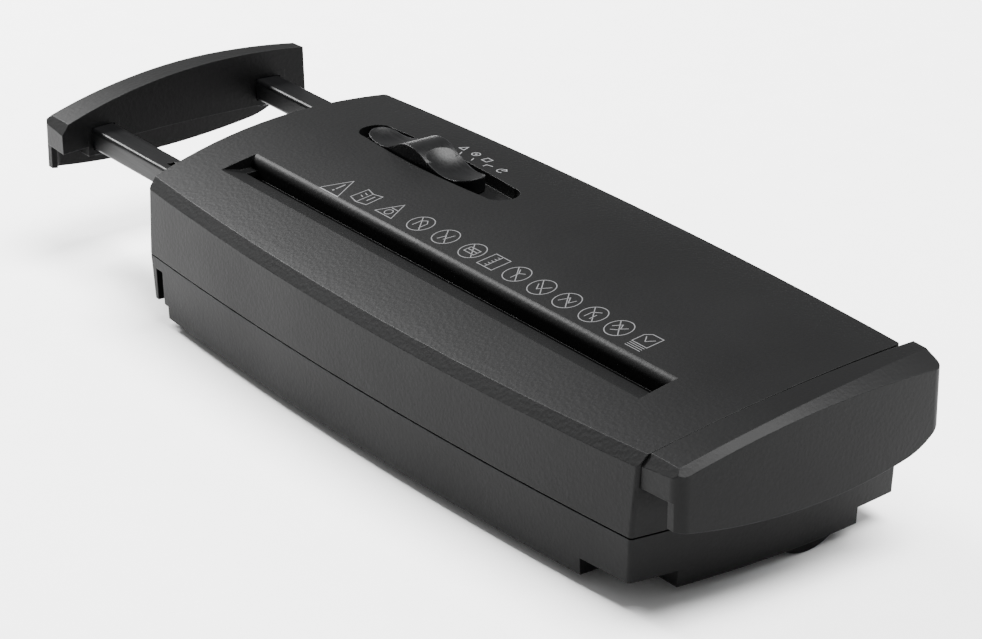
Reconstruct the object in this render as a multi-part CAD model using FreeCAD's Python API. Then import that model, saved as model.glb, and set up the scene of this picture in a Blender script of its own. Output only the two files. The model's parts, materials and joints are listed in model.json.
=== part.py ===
"""Paper shredder head with an extending rim arm.

A long bowed housing carries a cutting unit under a feed slot.  A fixed cap overhangs the near end
and an identical cap on two sliding arms overhangs the far end, so that the head sits across a bin.
Millimetres.  +X points at the fixed cap, -Y at the front wall, +Z up.
The sizes below are measured from the middle of the housing; each piece is then moved so that the
origin is the middle of the whole object's footprint, in the plane that it stands on.
"""
import FreeCAD
import Part

import math
import os

V = FreeCAD.Vector

# ---------------------------------------------------------------- housing
STAND = 3.4               # underside of the base above the standing plane
SEAM_Z = 24.0             # line between base and cover
SEAM_GAP = 0.5            # open groove along that line
SEAM_HALF_X = 133.7       # housing corners at the seam
SEAM_FRONT_Y = -54.7
SEAM_REAR_Y = 48.5
FRONT_BOW = 5.3           # how far each side bows out between its corners
REAR_BOW = 5.6
END_BOW = 3.8
CORNER_R = 1.4
INNER_CORNER_R = 1.5
WALL = 2.5
COVER_FRONT_LEAN = 0.054  # sideways per mm of height, cover
COVER_REAR_LEAN = 0.080
COVER_END_FLARE = 0.050
BASE_FRONT_LEAN = 0.034   # the same for the base, which narrows downwards
BASE_END_LEAN = 0.078
ROOF_FRONT_Z = 50.7       # top skin near the front wall and near the rear wall
ROOF_REAR_Z = 60.2
ROOF_CROWN = 4.0          # how far it rises above the straight line between them
ROOF_FRONT_Y = SEAM_FRONT_Y + 4.5
ROOF_REAR_Y = SEAM_REAR_Y - 2.9
ROOF_THICK = 2.6
EDGE_BEVEL_TOP = 3.2      # bevel along the front top edge: width on the top, height on the wall
EDGE_BEVEL_WALL = 2.7
LIP_HEIGHT = 2.2          # lip of the base that stands inside the cover
LIP_WALL = 1.1
LIP_CLEAR = 0.4

# ---------------------------------------------------------------- feed slot
FEED_X0 = -SEAM_HALF_X + 14.9
FEED_X1 = SEAM_HALF_X - 22.8
FEED_FRONT_Y = -34.0      # where the ramp leaves the top skin
FEED_REAR_Y = -18.5       # where the lip meets the top skin
RAMP_DROP = 1.9
LIP_R = 3.4
THROAT_WIDTH = 4.6
THROAT_MARGIN = 3.8       # throat ends inside the recess ends
THROAT_DEPTH = 2.4        # skin under the ramp
THROAT_Y = FEED_REAR_Y - LIP_R - THROAT_WIDTH
GUIDE_PLATE_T = 2.0       # plates that guide the paper below the throat

# ---------------------------------------------------------------- mode switch
LENS_X = -68.3
LENS_Y = 20.8
LENS_HALF_X = 42.6
LENS_HALF_Y = 7.9
LENS_DEPTH = 4.4
LENS_SKIN = 2.0
KNOB_X = LENS_X - 6.7
KNOB_HALF_X = 30.2
KNOB_SIDE_GAP = 0.9
KNOB_FLOOR_GAP = 0.5
KNOB_RISE = 5.2           # crest above the top skin
KNOB_TRAVEL = 14.0
KNOB_STOPS = 3
HUMP_R = 16.0             # saddle grip across the knob
HUMP_HALF_X = 10.0
DISH_R = 22.6             # dished ends beside the grip
DISH_X = 20.0
DISH_DEPTH = 1.2
STEM_X = 8.0
STEM_Y = 4.0
STEM_CLEAR = 0.5
STEM_REACH = 4.6          # into the electrical switch
SWITCH_MARGIN = 5.0
SWITCH_WIDEST = 7.0       # half width, if the rear arm guide leaves room for it
SWITCH_HEIGHT = 8.0
SWITCH_PIN = 5.0          # terminals below the switch

# ---------------------------------------------------------------- end caps
CAP_GAP = 0.35            # seam between a cap and the end of the cover
CAP_WIDTH = 15.4          # cap from its inner corners to its outer corners
CAP_OUTER_BOW = 2.6
CAP_FRONT_Y = SEAM_FRONT_Y + 2.3
CAP_REAR_Y = SEAM_REAR_Y + 2.1
CAP_CORNER_R = 4.5
CAP_WALL = 2.6
CAP_ROOF_THICK = 4.2
CAP_RIM_WALL = 3.2
CAP_INNER_WALL = 2.0      # wall along the inner edge of a cap
CAP_BEVEL = [(2.9, 2.4), (4.0, 1.7), (9.0, 3.3)]   # width and height at the front, middle and rear
CAP_LIP_Z = 40.4          # underside of the front, rear and inner walls
CAP_SET_IN = 1.2          # outer wall starts this far behind the front return
CAP_SKIRT_MID_Z = 27.6    # outer wall: lowest in the middle, higher at its ends
CAP_SKIRT_FRONT_Z = 31.6
CAP_SKIRT_REAR_Z = 37.5
CAP_TAB_Y = 12.0          # tabs that hook into the end wall of the cover
CAP_TAB_Z = 2.0
CAP_TAB_REACH = 3.6
CAP_TAB_CLEAR = 0.2
CAP_TABS = [(-24.0, 42.0), (22.0, 44.0)]

# ---------------------------------------------------------------- arms
EXTENSION = 61.0          # how far the far cap stands out as modelled
EXTENSION_MORE = 35.0     # how much further it pulls out, until the end stops meet the guides
ARM_Y = 10.0
ARM_Z = 8.0
ARM_SIDE_GAP = 0.9        # arms off the feed guide in front and off the switch behind
ARM_FRONT_Y = THROAT_Y - GUIDE_PLATE_T - ARM_SIDE_GAP - ARM_Y / 2
ARM_REAR_Y = SEAM_REAR_Y - 12.8
ARM_FRONT_TOP = 46.9
ARM_REAR_TOP = 50.6
ARMS = [(ARM_FRONT_Y, ARM_FRONT_TOP), (ARM_REAR_Y, ARM_REAR_TOP)]
ARM_LENGTH = 230.0
ARM_CLEAR = 0.35
ARM_EDGE_R = 1.4
ARM_SEAT = 1.0            # arm end from the outer wall of its cap
ARM_SOCKET_X = 11.0       # screw stands in the middle of this length
ARM_SOCKET_WALL = 2.0
ARM_HOLE_X = 56.0         # small slot in the front arm
ARM_HOLE_LENGTH = 4.0
ARM_HOLE_WIDTH = 2.8
GUIDE_WALL = 1.6
GUIDE_BRIDGE = 10.0
GUIDE_ROOF_GAP = 0.05
STOP_FLANGE = 3.6
STOP_RISE = 1.8
STOP_GAP = 0.2

# ---------------------------------------------------------------- cutting unit
DISC_R = 10.0
DISC_PITCH = 12.0
DISC_SIDE_GAP = 0.1
DISC_NOTCHES = 9
DISC_NOTCH_ANGLE = 0.14
DISC_NOTCH_DEPTH = 1.1
REAR_DISC_PHASE = 0.3
SHAFT_R = 4.0
SHAFT_OVERHANG = 2.5
SPACER_R = 5.6
SPACER_GAP = 0.02
BORE_GAP = 0.02
PLATE_T = 2.0
PLATE_GAP = 0.5
BUSH_R = 6.4
RUN_GAP = 0.05
COMB_FINGER_GAP = 0.3
COMB_BAR = 2.2
COMB_OFF = 0.7            # comb bar off the discs
COMB_LOW = 3.0
COMB_HIGH = 5.0
PLATE_LOW = 10.0          # side plates below and above the cutter axes
PLATE_HIGH = 14.0
PLATE_FRONT = 25.0
PLATE_NECK_GAP = 0.2
TIE_R = 2.5
TIE_HOLE_R = 2.0
TIE_NUT_R = 2.8

# ---------------------------------------------------------------- feed guides and paper sensor
GUIDE_LIFT = 1.0          # feed guides above the discs
GUIDE_TOP_GAP = 0.2
SENSOR_X = -4.0
SENSOR_NOTCH = 4.4
SENSOR_BACK = 4.4         # pivot behind the rear guide
SENSOR_RISE = 9.0         # pivot above the lower edge of the guides
SENSOR_SHELF = 1.4
SENSOR_PIN_R = 1.0
LEVER_HALF_X = 1.2
LEVER_HUB_R = 2.4

# ---------------------------------------------------------------- gear train
PRESSURE_ANGLE = math.radians(25)
BACKLASH = 0.12
TIP_FACTOR = 0.9          # tooth above and below the pitch circle, per module
ROOT_FACTOR = 1.2
GEAR_W = 3.5
GEAR_GAP = 0.8
SYNC_TEETH, SYNC_MODULE = 18, 1.0
DRIVE_TEETH, STAGE3_TEETH, STAGE3_MODULE = 24, 12, 1.0
STAGE2_BIG, STAGE2_SMALL, STAGE2_MODULE = 35, 13, 0.8
STAGE1_BIG, STAGE1_SMALL, STAGE1_MODULE = 54, 12, 0.6
AXLE_R = 2.0
HUB_WALL = 1.6
STANDOFF_R = 2.3
STANDOFF_PIN_R = 1.5
PIN_GAP = 0.02
MOTOR_Y = 12.6
MOTOR_R = 14.0
MOTOR_LENGTH = 50.0
MOTOR_BELL = 6.0
MOTOR_GAP = 0.3
MOTOR_SHAFT_R = 1.5
MOTOR_NOSE_R = 4.0

# ---------------------------------------------------------------- base
EXIT_WALL = 2.5           # collar around the shred exit
EXIT_FLANGE = 3.0
EXIT_END_FLANGE = 1.0
EXIT_FLANGE_T = 2.0
EXIT_X_MARGIN = 1.5
EXIT_CLEAR = 0.2
RIM_CHANNEL_X0 = -SEAM_HALF_X + 4.1   # groove that drops over the rim of the bin
RIM_CHANNEL_X1 = RIM_CHANNEL_X0 + 4.6
RIM_CHANNEL_TOP = 19.7
FAR_STEP_Z = 7.8          # underside beyond the rim channel
FAR_BLOCK_X = RIM_CHANNEL_X1 + 2.6
NOTCH_FRONT_Y = -37.5     # raised corners at the near end
NOTCH_REAR_Y = 32.5
NOTCH_Z = 9.0
NOTCH_WALL = 1.6
BULGE_MARGIN = 6.0        # round bulge behind the motor
BULGE_END = -0.5          # its end inside the corners of the near wall
POST_R = 3.3              # screw posts
POST_TOP = 30.0
POST_CLEAR = 0.15
SCREW_R = 1.4
SCREW_HEAD_R = 2.6
SCREW_HEAD_T = 2.0
SCREW_CROSS = 0.3         # half width of the cross recess
SCREW_LENGTH = 22.0
SCREW_SEAT = 4.0          # screw heads above the floor
SCREW_HEAD_GAP = 0.4
SCREW_HOLE_GAP = 0.2
CASE_SCREWS = [(-SEAM_HALF_X + 33.7, SEAM_FRONT_Y + 3.7), (SEAM_HALF_X - 33.7, SEAM_FRONT_Y + 3.7),
               (-SEAM_HALF_X + 14.7, SEAM_REAR_Y - 28.5), (SEAM_HALF_X - 15.7, SEAM_REAR_Y - 8.5)]

# ---------------------------------------------------------------- electrics
BOARD_LENGTH = 100.0
BOARD_MOTOR_GAP = 28.0
BOARD_Y0 = 4.0
BOARD_Y1 = SEAM_REAR_Y - 8.5
BOARD_Z = 12.0
BOARD_T = 1.6
BOARD_POST_R = 2.5
BOARD_POST_INSET = 4.0
RELAY = (19.0, 15.0, 15.0)      # length, depth and height on the board
CAPACITOR_R = 6.5
CAPACITOR_HEIGHT = 20.0
TERMINAL = (10.0, 11.0, 9.0)
TERMINAL_COUNT = 3
TERMINAL_PITCH = 10.4
TERMINAL_SCREW_R = 2.2
GLAND_X = 70.0
GLAND_Z = 14.0
GLAND_R = 5.0
CORD_R = 3.1

# ---------------------------------------------------------------- derived places
FLOOR_Z = STAND + WALL
SHAFT_SPACING = SYNC_TEETH * SYNC_MODULE
CUT_Y = THROAT_Y + THROAT_WIDTH / 2 + 0.6
CUT_Z = FLOOR_Z + 15.6
CUT_X0 = FEED_X0 + THROAT_MARGIN
CUT_COUNT = int((FEED_X1 - THROAT_MARGIN - CUT_X0) / DISC_PITCH + 0.5)
CUT_X1 = CUT_X0 + (CUT_COUNT - 0.5) * DISC_PITCH
REAR_X0 = CUT_X0 + DISC_PITCH / 2
FRONT_AXIS = (CUT_Y - SHAFT_SPACING / 2, CUT_Z)
REAR_AXIS = (CUT_Y + SHAFT_SPACING / 2, CUT_Z)
FAR_PLATE_X = CUT_X0 - PLATE_GAP - PLATE_T
NEAR_PLATE_X = CUT_X1 + 1.0
MOTOR_Z = MOTOR_R + MOTOR_GAP + WALL
MOTOR_AXIS = (MOTOR_Y, MOTOR_Z)
GEAR_X = [NEAR_PLATE_X + PLATE_T + GEAR_GAP + i * (GEAR_W + GEAR_GAP) for i in range(4)]
GEAR_PLATE_X = GEAR_X[3] + GEAR_W + GEAR_GAP / 2
SWITCH_ROOM = ARM_REAR_Y - ARM_Y / 2 - ARM_CLEAR - GUIDE_WALL - ARM_SIDE_GAP - LENS_Y
SWITCH_HALF_Y = min(SWITCH_WIDEST, SWITCH_ROOM)
EXIT_FRONT_Y = FRONT_AXIS[0] - 10.9
EXIT_REAR_Y = REAR_AXIS[0] + 10.0
NOTCH_X = CUT_X1 + EXIT_X_MARGIN + 2.8
BOARD_X1 = NEAR_PLATE_X - MOTOR_LENGTH - BOARD_MOTOR_GAP
BOARD_X0 = BOARD_X1 - BOARD_LENGTH
TIE_RODS = [(FRONT_AXIS[0] - 11.9, CUT_Z + 9.7), (FRONT_AXIS[0] - 12.0, CUT_Z - 6.6),
            (REAR_AXIS[0] + 12.0, CUT_Z + 10.9)]
STANDOFFS = [(MOTOR_Y + 15.4, MOTOR_Z + 7.2), (REAR_AXIS[0] + 14.6, CUT_Z - 9.9),
             (FRONT_AXIS[0] + 3.6, CUT_Z + 17.0)]
ORIGIN = V(-EXTENSION / 2, (SEAM_FRONT_Y - FRONT_BOW + SEAM_REAR_Y + REAR_BOW) / 2, 0)


def block(x0, x1, y0, y1, z0, z1):
    """Box between two corners."""
    return Part.makeBox(x1 - x0, y1 - y0, z1 - z0, V(x0, y0, z0))


def rod_x(x0, x1, y, z, radius):
    """Round bar along X."""
    return Part.makeCylinder(radius, x1 - x0, V(x0, y, z), V(1, 0, 0))


def rod_z(x, y, z0, z1, radius):
    """Round bar along Z."""
    return Part.makeCylinder(radius, z1 - z0, V(x, y, z0), V(0, 0, 1))


def tube_x(x0, x1, y, z, outer, inner):
    """Round tube along X."""
    return rod_x(x0, x1, y, z, outer).cut(rod_x(x0 - 1, x1 + 1, y, z, inner))


def prism_x(points, x0, x1):
    """Straight-sided (y, z) outline carried along X."""
    wire = Part.makePolygon([V(x0, y, z) for y, z in points] + [V(x0, *points[0])])
    return Part.Face(wire).extrude(V(x1 - x0, 0, 0))


def arc(a, mid, b):
    """Arc edge through three points."""
    return Part.Arc(a, mid, b).toShape()


def fillet_upright(solid, radius, keep=lambda x, y: True):
    """Round the upright corner edges that keep(x, y) picks."""
    picked = []
    for edge in solid.Edges:
        a, b = edge.Vertexes[0].Point, edge.Vertexes[-1].Point
        rise = abs(b.z - a.z)
        if len(edge.Vertexes) == 2 and rise > 0.8 * edge.Length and rise > 3:
            middle = (a + b) * 0.5
            if keep(middle.x, middle.y):
                picked.append(edge)
    return solid.makeFillet(radius, picked)


# ---------------------------------------------------------------- housing shape
def ring(x0, x1, y0, y1, bow_x, bow_front, bow_rear, z):
    """Closed four-sided outline with bowed sides at height z."""
    mid_x, mid_y = (x0 + x1) / 2, (y0 + y1) / 2
    corners = [V(x0, y0, z), V(x1, y0, z), V(x1, y1, z), V(x0, y1, z)]
    bows = [V(mid_x, y0 - bow_front, z), V(x1 + bow_x, mid_y, z),
            V(mid_x, y1 + bow_rear, z), V(x0 - bow_x, mid_y, z)]
    return Part.Wire([arc(corners[i], bows[i], corners[(i + 1) % 4]) for i in range(4)])


def housing_ring(z, inset):
    """Housing outline at height z, drawn in by a wall thickness."""
    above, below = max(z - SEAM_Z, 0), max(SEAM_Z - z, 0)
    half_x = SEAM_HALF_X + COVER_END_FLARE * above - BASE_END_LEAN * below - inset
    front = SEAM_FRONT_Y + COVER_FRONT_LEAN * above + BASE_FRONT_LEAN * below + inset
    rear = SEAM_REAR_Y - COVER_REAR_LEAN * above - inset
    return ring(-half_x, half_x, front, rear, END_BOW, FRONT_BOW, REAR_BOW, z)


def housing_block(z0, z1, inset, corner_r):
    """Solid between two heights of the housing outline, with rounded corners."""
    solid = Part.makeLoft([housing_ring(z0, inset), housing_ring(z1, inset)], True, True)
    return fillet_upright(solid, corner_r)


def roof_z(y):
    """Height of the top skin above a point, on the arc through its three levels."""
    a, b, c = roof_points(0)
    centre, radius = circle_through((a.y, a.z), (b.y, b.z), (c.y, c.z))
    return centre[1] + math.sqrt(radius ** 2 - (y - centre[0]) ** 2)


def circle_through(p, q, r):
    """Centre and radius of the circle through three plane points."""
    d = 2 * (p[0] * (q[1] - r[1]) + q[0] * (r[1] - p[1]) + r[0] * (p[1] - q[1]))
    sp, sq, sr = (p[0] ** 2 + p[1] ** 2), (q[0] ** 2 + q[1] ** 2), (r[0] ** 2 + r[1] ** 2)
    u = (sp * (q[1] - r[1]) + sq * (r[1] - p[1]) + sr * (p[1] - q[1])) / d
    v = (sp * (r[0] - q[0]) + sq * (p[0] - r[0]) + sr * (q[0] - p[0])) / d
    return (u, v), math.hypot(p[0] - u, p[1] - v)


def roof_points(drop):
    """Front, middle and rear points of the top skin, lowered by drop."""
    middle_z = (ROOF_FRONT_Z + ROOF_REAR_Z) / 2 + ROOF_CROWN
    middle_y = (ROOF_FRONT_Y + ROOF_REAR_Y) / 2
    return [V(0, ROOF_FRONT_Y, ROOF_FRONT_Z - drop), V(0, middle_y, middle_z - drop),
            V(0, ROOF_REAR_Y, ROOF_REAR_Z - drop)]


def under_roof(x0, x1, drop):
    """Everything below the crowned top skin, lowered by drop."""
    reach = 70.0
    front = V(x0, -reach, roof_z(-reach) - drop)
    rear = V(x0, reach, roof_z(reach) - drop)
    top = arc(front, roof_points(drop)[1] + V(x0, 0, 0), rear)
    low_front, low_rear = V(x0, -reach, -5), V(x0, reach, -5)
    sides = [Part.makeLine(rear, low_rear), Part.makeLine(low_rear, low_front),
             Part.makeLine(low_front, front)]
    return Part.Face(Part.Wire([top] + sides)).extrude(V(x1 - x0, 0, 0))


def highest_front_edge(solid):
    """Edge where the front wall meets the top skin."""
    def rank(edge):
        box = edge.BoundBox
        return box.YMax if box.XLength > 100 and box.ZMax > SEAM_Z + 15 else 1e9
    return min(solid.Edges, key=rank)


def cover_body(z0):
    """Outer form of the cover with the long front bevel."""
    sharp = Part.makeLoft([housing_ring(z0, 0), housing_ring(70, 0)], True, True)
    sharp = sharp.common(under_roof(-200, 200, 0))
    edge = highest_front_edge(sharp)
    bevelled = sharp.makeChamfer(EDGE_BEVEL_WALL, EDGE_BEVEL_TOP, [edge])
    return bevelled.common(housing_block(z0, 70, 0, CORNER_R))


# ---------------------------------------------------------------- feed slot shape
def ramp_foot_z():
    """Height of the ramp at the throat."""
    return roof_z(FEED_FRONT_Y) - RAMP_DROP


def feed_recess():
    """Open trough with a ramp on the front side and a rolled lip on the rear side."""
    foot_z = ramp_foot_z()
    lip_y = FEED_REAR_Y - LIP_R
    top_z = roof_z(FEED_REAR_Y)
    up = 70
    x = FEED_X0
    edges = [
        Part.makeLine(V(x, FEED_FRONT_Y, up), V(x, FEED_FRONT_Y, roof_z(FEED_FRONT_Y))),
        Part.makeLine(V(x, FEED_FRONT_Y, roof_z(FEED_FRONT_Y)), V(x, THROAT_Y, foot_z)),
        Part.makeLine(V(x, THROAT_Y, foot_z), V(x, lip_y, foot_z)),
        Part.makeLine(V(x, lip_y, foot_z), V(x, lip_y, top_z - LIP_R)),
        arc(V(x, lip_y, top_z - LIP_R),
            V(x, FEED_REAR_Y - LIP_R * math.sqrt(0.5), top_z - LIP_R + LIP_R * math.sqrt(0.5)),
            V(x, FEED_REAR_Y, top_z)),
        Part.makeLine(V(x, FEED_REAR_Y, top_z), V(x, FEED_REAR_Y, up)),
        Part.makeLine(V(x, FEED_REAR_Y, up), V(x, FEED_FRONT_Y, up)),
    ]
    return Part.Face(Part.Wire(edges)).extrude(V(FEED_X1 - FEED_X0, 0, 0))


def feed_trough():
    """Material left around the feed recess."""
    foot_z = ramp_foot_z()
    low = foot_z - THROAT_DEPTH
    points = [(FEED_FRONT_Y - WALL, 70), (FEED_FRONT_Y - WALL, roof_z(FEED_FRONT_Y) - ROOF_THICK - 1),
              (THROAT_Y - 1, low), (FEED_REAR_Y + WALL, low), (FEED_REAR_Y + WALL, 70)]
    return prism_x(points, FEED_X0 - WALL, FEED_X1 + WALL)


def throat_cut():
    """Paper slot through the foot of the recess."""
    foot_z = ramp_foot_z()
    return block(FEED_X0 + THROAT_MARGIN, FEED_X1 - THROAT_MARGIN, THROAT_Y, THROAT_Y + THROAT_WIDTH,
                 foot_z - THROAT_DEPTH - 1, foot_z + 1)


# ---------------------------------------------------------------- mode switch shape
def lens_prism(x, half_x, half_y, z0, z1):
    """Long oval with slightly bowed sides and round ends."""
    side_x = half_x * 0.83
    side_y = half_y * 0.78
    corners = [V(x - side_x, LENS_Y - side_y, z0), V(x + side_x, LENS_Y - side_y, z0),
               V(x + side_x, LENS_Y + side_y, z0), V(x - side_x, LENS_Y + side_y, z0)]
    mids = [V(x, LENS_Y - half_y, z0), V(x + half_x, LENS_Y, z0),
            V(x, LENS_Y + half_y, z0), V(x - half_x, LENS_Y, z0)]
    sides = [arc(corners[i], mids[i], corners[(i + 1) % 4]) for i in range(4)]
    return Part.Face(Part.Wire(sides)).extrude(V(0, 0, z1 - z0))


def lens_floor_z():
    """Floor of the switch recess."""
    return roof_z(LENS_Y) - LENS_DEPTH


def knob_stem(margin, z0, z1):
    """Stem under the knob, or with a margin the slot that it slides in."""
    reach = KNOB_TRAVEL if margin else 0
    return block(KNOB_X - STEM_X / 2 - margin, KNOB_X + STEM_X / 2 + reach + margin,
                 LENS_Y - STEM_Y / 2 - margin, LENS_Y + STEM_Y / 2 + margin, z0, z1)


def mode_knob():
    """Oval slider with a saddle grip between two dished ends."""
    floor = lens_floor_z()
    skin = roof_z(LENS_Y)
    crest = skin + KNOB_RISE
    knob = lens_prism(KNOB_X, KNOB_HALF_X, LENS_HALF_Y - KNOB_SIDE_GAP, floor + KNOB_FLOOR_GAP, crest + 1)
    over = block(KNOB_X - HUMP_HALF_X, KNOB_X + HUMP_HALF_X, LENS_Y - 20, LENS_Y + 20, skin - 2, crest + 5)
    hump = Part.makeCylinder(HUMP_R, 50, V(KNOB_X, LENS_Y - 25, crest - HUMP_R), V(0, 1, 0))
    knob = knob.cut(over.cut(hump))
    for side in (-1, 1):
        centre = V(KNOB_X + side * DISH_X, LENS_Y, skin - DISH_DEPTH + DISH_R)
        knob = knob.cut(Part.makeSphere(DISH_R, centre))
    return knob.fuse(knob_stem(0, switch_top_z() - STEM_REACH, floor + 2)).removeSplitter()


def switch_top_z():
    """Top of the electrical switch, just under the recess floor."""
    return lens_floor_z() - LENS_SKIN - 0.2


def slide_switch():
    """Three-way slide switch under the recess."""
    top = switch_top_z()
    low = top - SWITCH_HEIGHT
    body = block(KNOB_X - STEM_X / 2 - SWITCH_MARGIN, KNOB_X + STEM_X / 2 + KNOB_TRAVEL + SWITCH_MARGIN,
                 LENS_Y - SWITCH_HALF_Y, LENS_Y + SWITCH_HALF_Y, low, top)
    body = body.cut(knob_stem(STEM_CLEAR, top - STEM_REACH - 0.8, top + 1))
    for step in range(KNOB_STOPS):
        pin_x = KNOB_X + step * KNOB_TRAVEL / (KNOB_STOPS - 1)
        pin = block(pin_x - 1.2, pin_x + 1.2, LENS_Y - 0.4, LENS_Y + 0.4, low - SWITCH_PIN, low + 1)
        body = body.fuse(pin)
    return body


# ---------------------------------------------------------------- screws that close the case
def case_screw(x, y):
    """Pan-head screw from below with a cross recess."""
    z0 = FLOOR_Z + SCREW_SEAT
    head = rod_z(x, y, z0 - SCREW_HEAD_T, z0, SCREW_HEAD_R)
    shank = rod_z(x, y, z0, z0 + SCREW_LENGTH, SCREW_R)
    arm_x, low, high = SCREW_HEAD_R - 1, z0 - SCREW_HEAD_T - 1, z0 - SCREW_HEAD_T / 2
    cross = block(x - arm_x, x + arm_x, y - SCREW_CROSS, y + SCREW_CROSS, low, high)
    cross = cross.fuse(block(x - SCREW_CROSS, x + SCREW_CROSS, y - arm_x, y + arm_x, low, high))
    return head.fuse(shank).cut(cross)


# ---------------------------------------------------------------- cover
def arm_bar(x0, x1, y, top, margin):
    """Arm section between two ends, grown by a margin."""
    return block(x0, x1, y - ARM_Y / 2 - margin, y + ARM_Y / 2 + margin, top - ARM_Z - margin, top + margin)


def top_cover():
    """Moulded upper shell with the feed recess and the switch recess."""
    z0 = SEAM_Z + SEAM_GAP / 2
    body = cover_body(z0)
    hollow = housing_block(z0 - 1, 69, WALL, INNER_CORNER_R).common(under_roof(-200, 200, ROOF_THICK))
    shell = body.cut(hollow)
    solids = [feed_trough().common(body)]
    lens_low = lens_floor_z() - LENS_SKIN
    pan = lens_prism(LENS_X, LENS_HALF_X + LENS_SKIN, LENS_HALF_Y + LENS_SKIN, lens_low, 70)
    solids.append(pan.common(body))
    for x, y in CASE_SCREWS:
        solids.append(rod_z(x, y, POST_TOP, 70, POST_R).common(body))
    shell = shell.multiFuse(solids)
    shell = shell.cut(feed_recess()).cut(throat_cut())
    shell = shell.cut(lens_prism(LENS_X, LENS_HALF_X, LENS_HALF_Y, lens_floor_z(), 75))
    shell = shell.cut(knob_stem(STEM_CLEAR, lens_low - 1, lens_floor_z() + 1))
    for y, top in ARMS:
        shell = shell.cut(arm_bar(-SEAM_HALF_X - 16, -SEAM_HALF_X + 14, y, top, ARM_CLEAR))
    for x, y in CASE_SCREWS:
        shell = shell.cut(rod_z(x, y, POST_TOP - 1, FLOOR_Z + SCREW_SEAT + SCREW_LENGTH + 0.5, SCREW_R))
    for y, z in CAP_TABS:
        shell = shell.cut(cap_tab(y, z, CAP_TAB_CLEAR))
    return shell.removeSplitter()


# ---------------------------------------------------------------- base
def exit_box(along, across, z0, z1):
    """Block over the shred exit, grown by a margin along it and a margin across it."""
    return block(CUT_X0 - EXIT_X_MARGIN - along, CUT_X1 + EXIT_X_MARGIN + along,
                 EXIT_FRONT_Y - across, EXIT_REAR_Y + across, z0, z1)


def base_room():
    """Inside of the base, less the ground under its raised parts."""
    far, near = -200, 200
    front, rear = -80, 80
    room = housing_block(FLOOR_Z, SEAM_Z + 1, WALL, INNER_CORNER_R)
    notch_x, notch_top = NOTCH_X - NOTCH_WALL, NOTCH_Z + NOTCH_WALL
    room = room.cut(block(far, RIM_CHANNEL_X1 + WALL, front, rear, 0, RIM_CHANNEL_TOP + WALL))
    room = room.cut(block(notch_x, near, front, NOTCH_FRONT_Y + NOTCH_WALL, 0, notch_top))
    return room.cut(block(notch_x, near, NOTCH_REAR_Y - NOTCH_WALL, rear, 0, notch_top))


def base_steps():
    """Everything outside the stepped underside."""
    far, near = -200, 200
    front, rear = -80, 80
    return [
        block(far, FAR_BLOCK_X, front, rear, -1, FAR_STEP_Z),
        block(RIM_CHANNEL_X0, RIM_CHANNEL_X1, front, rear, -1, RIM_CHANNEL_TOP),
        block(NOTCH_X, near, front, NOTCH_FRONT_Y, -1, NOTCH_Z),
        block(NOTCH_X, near, NOTCH_REAR_Y, rear, -1, NOTCH_Z),
    ]


def motor_bulge(wall):
    """Round bulge of the floor under the motor, or with a wall the hollow in it."""
    x0 = NEAR_PLATE_X - MOTOR_LENGTH - BULGE_MARGIN + wall
    return rod_x(x0, SEAM_HALF_X - BULGE_END - wall, *MOTOR_AXIS, MOTOR_Z - wall)


def seam_lip():
    """Lip along the top of the base that stands inside the cover."""
    top = SEAM_Z - SEAM_GAP / 2
    lip = housing_block(top - 3, top + LIP_HEIGHT, WALL + LIP_CLEAR, INNER_CORNER_R)
    return lip.cut(housing_block(top - 4, top + LIP_HEIGHT + 1, WALL + LIP_WALL, INNER_CORNER_R - 1))


def base_housing():
    """Moulded lower tray with stepped corners and a round bulge under the motor."""
    tray = housing_block(STAND, SEAM_Z - SEAM_GAP / 2, 0, CORNER_R)
    for step in base_steps():
        tray = tray.cut(step)
    bulge = motor_bulge(0).common(block(-200, 200, -80, 80, -1, FLOOR_Z))
    tray = tray.fuse(bulge).cut(base_room()).cut(motor_bulge(WALL))
    posts = [rod_z(x, y, FLOOR_Z - 1, POST_TOP, POST_R) for x, y in CASE_SCREWS]
    posts += [rod_z(x, y, FLOOR_Z - 1, BOARD_Z, BOARD_POST_R) for x, y in board_posts()]
    tray = tray.multiFuse([seam_lip()] + [post.common(post_room()) for post in posts])
    tray = tray.cut(exit_box(EXIT_CLEAR, EXIT_CLEAR, -1, FLOOR_Z + 1))
    seat = FLOOR_Z + SCREW_SEAT
    for x, y in CASE_SCREWS:
        tray = tray.cut(rod_z(x, y, -1, seat, SCREW_HEAD_R + SCREW_HEAD_GAP))
        tray = tray.cut(rod_z(x, y, seat - 1, POST_TOP + 1, SCREW_R + SCREW_HOLE_GAP))
    gland = Part.makeCylinder(GLAND_R, 30, V(GLAND_X, SEAM_REAR_Y - 8.5, GLAND_Z), V(0, 1, 0))
    return tray.cut(gland).removeSplitter()


def post_room():
    """Space in which screw posts may stand: inside the base walls, and inside the cover above."""
    low = housing_block(STAND + 0.2, SEAM_Z - SEAM_GAP / 2, WALL / 2, INNER_CORNER_R)
    return low.fuse(housing_block(SEAM_Z - 1, POST_TOP + 5, WALL + POST_CLEAR, INNER_CORNER_R))


def board_posts():
    """Where the control board is held."""
    inset = BOARD_POST_INSET
    lines = (BOARD_Y0 + inset, BOARD_Y1 - inset)
    return [(x, y) for x in (BOARD_X0 + inset, BOARD_X1 - inset) for y in lines]


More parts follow.
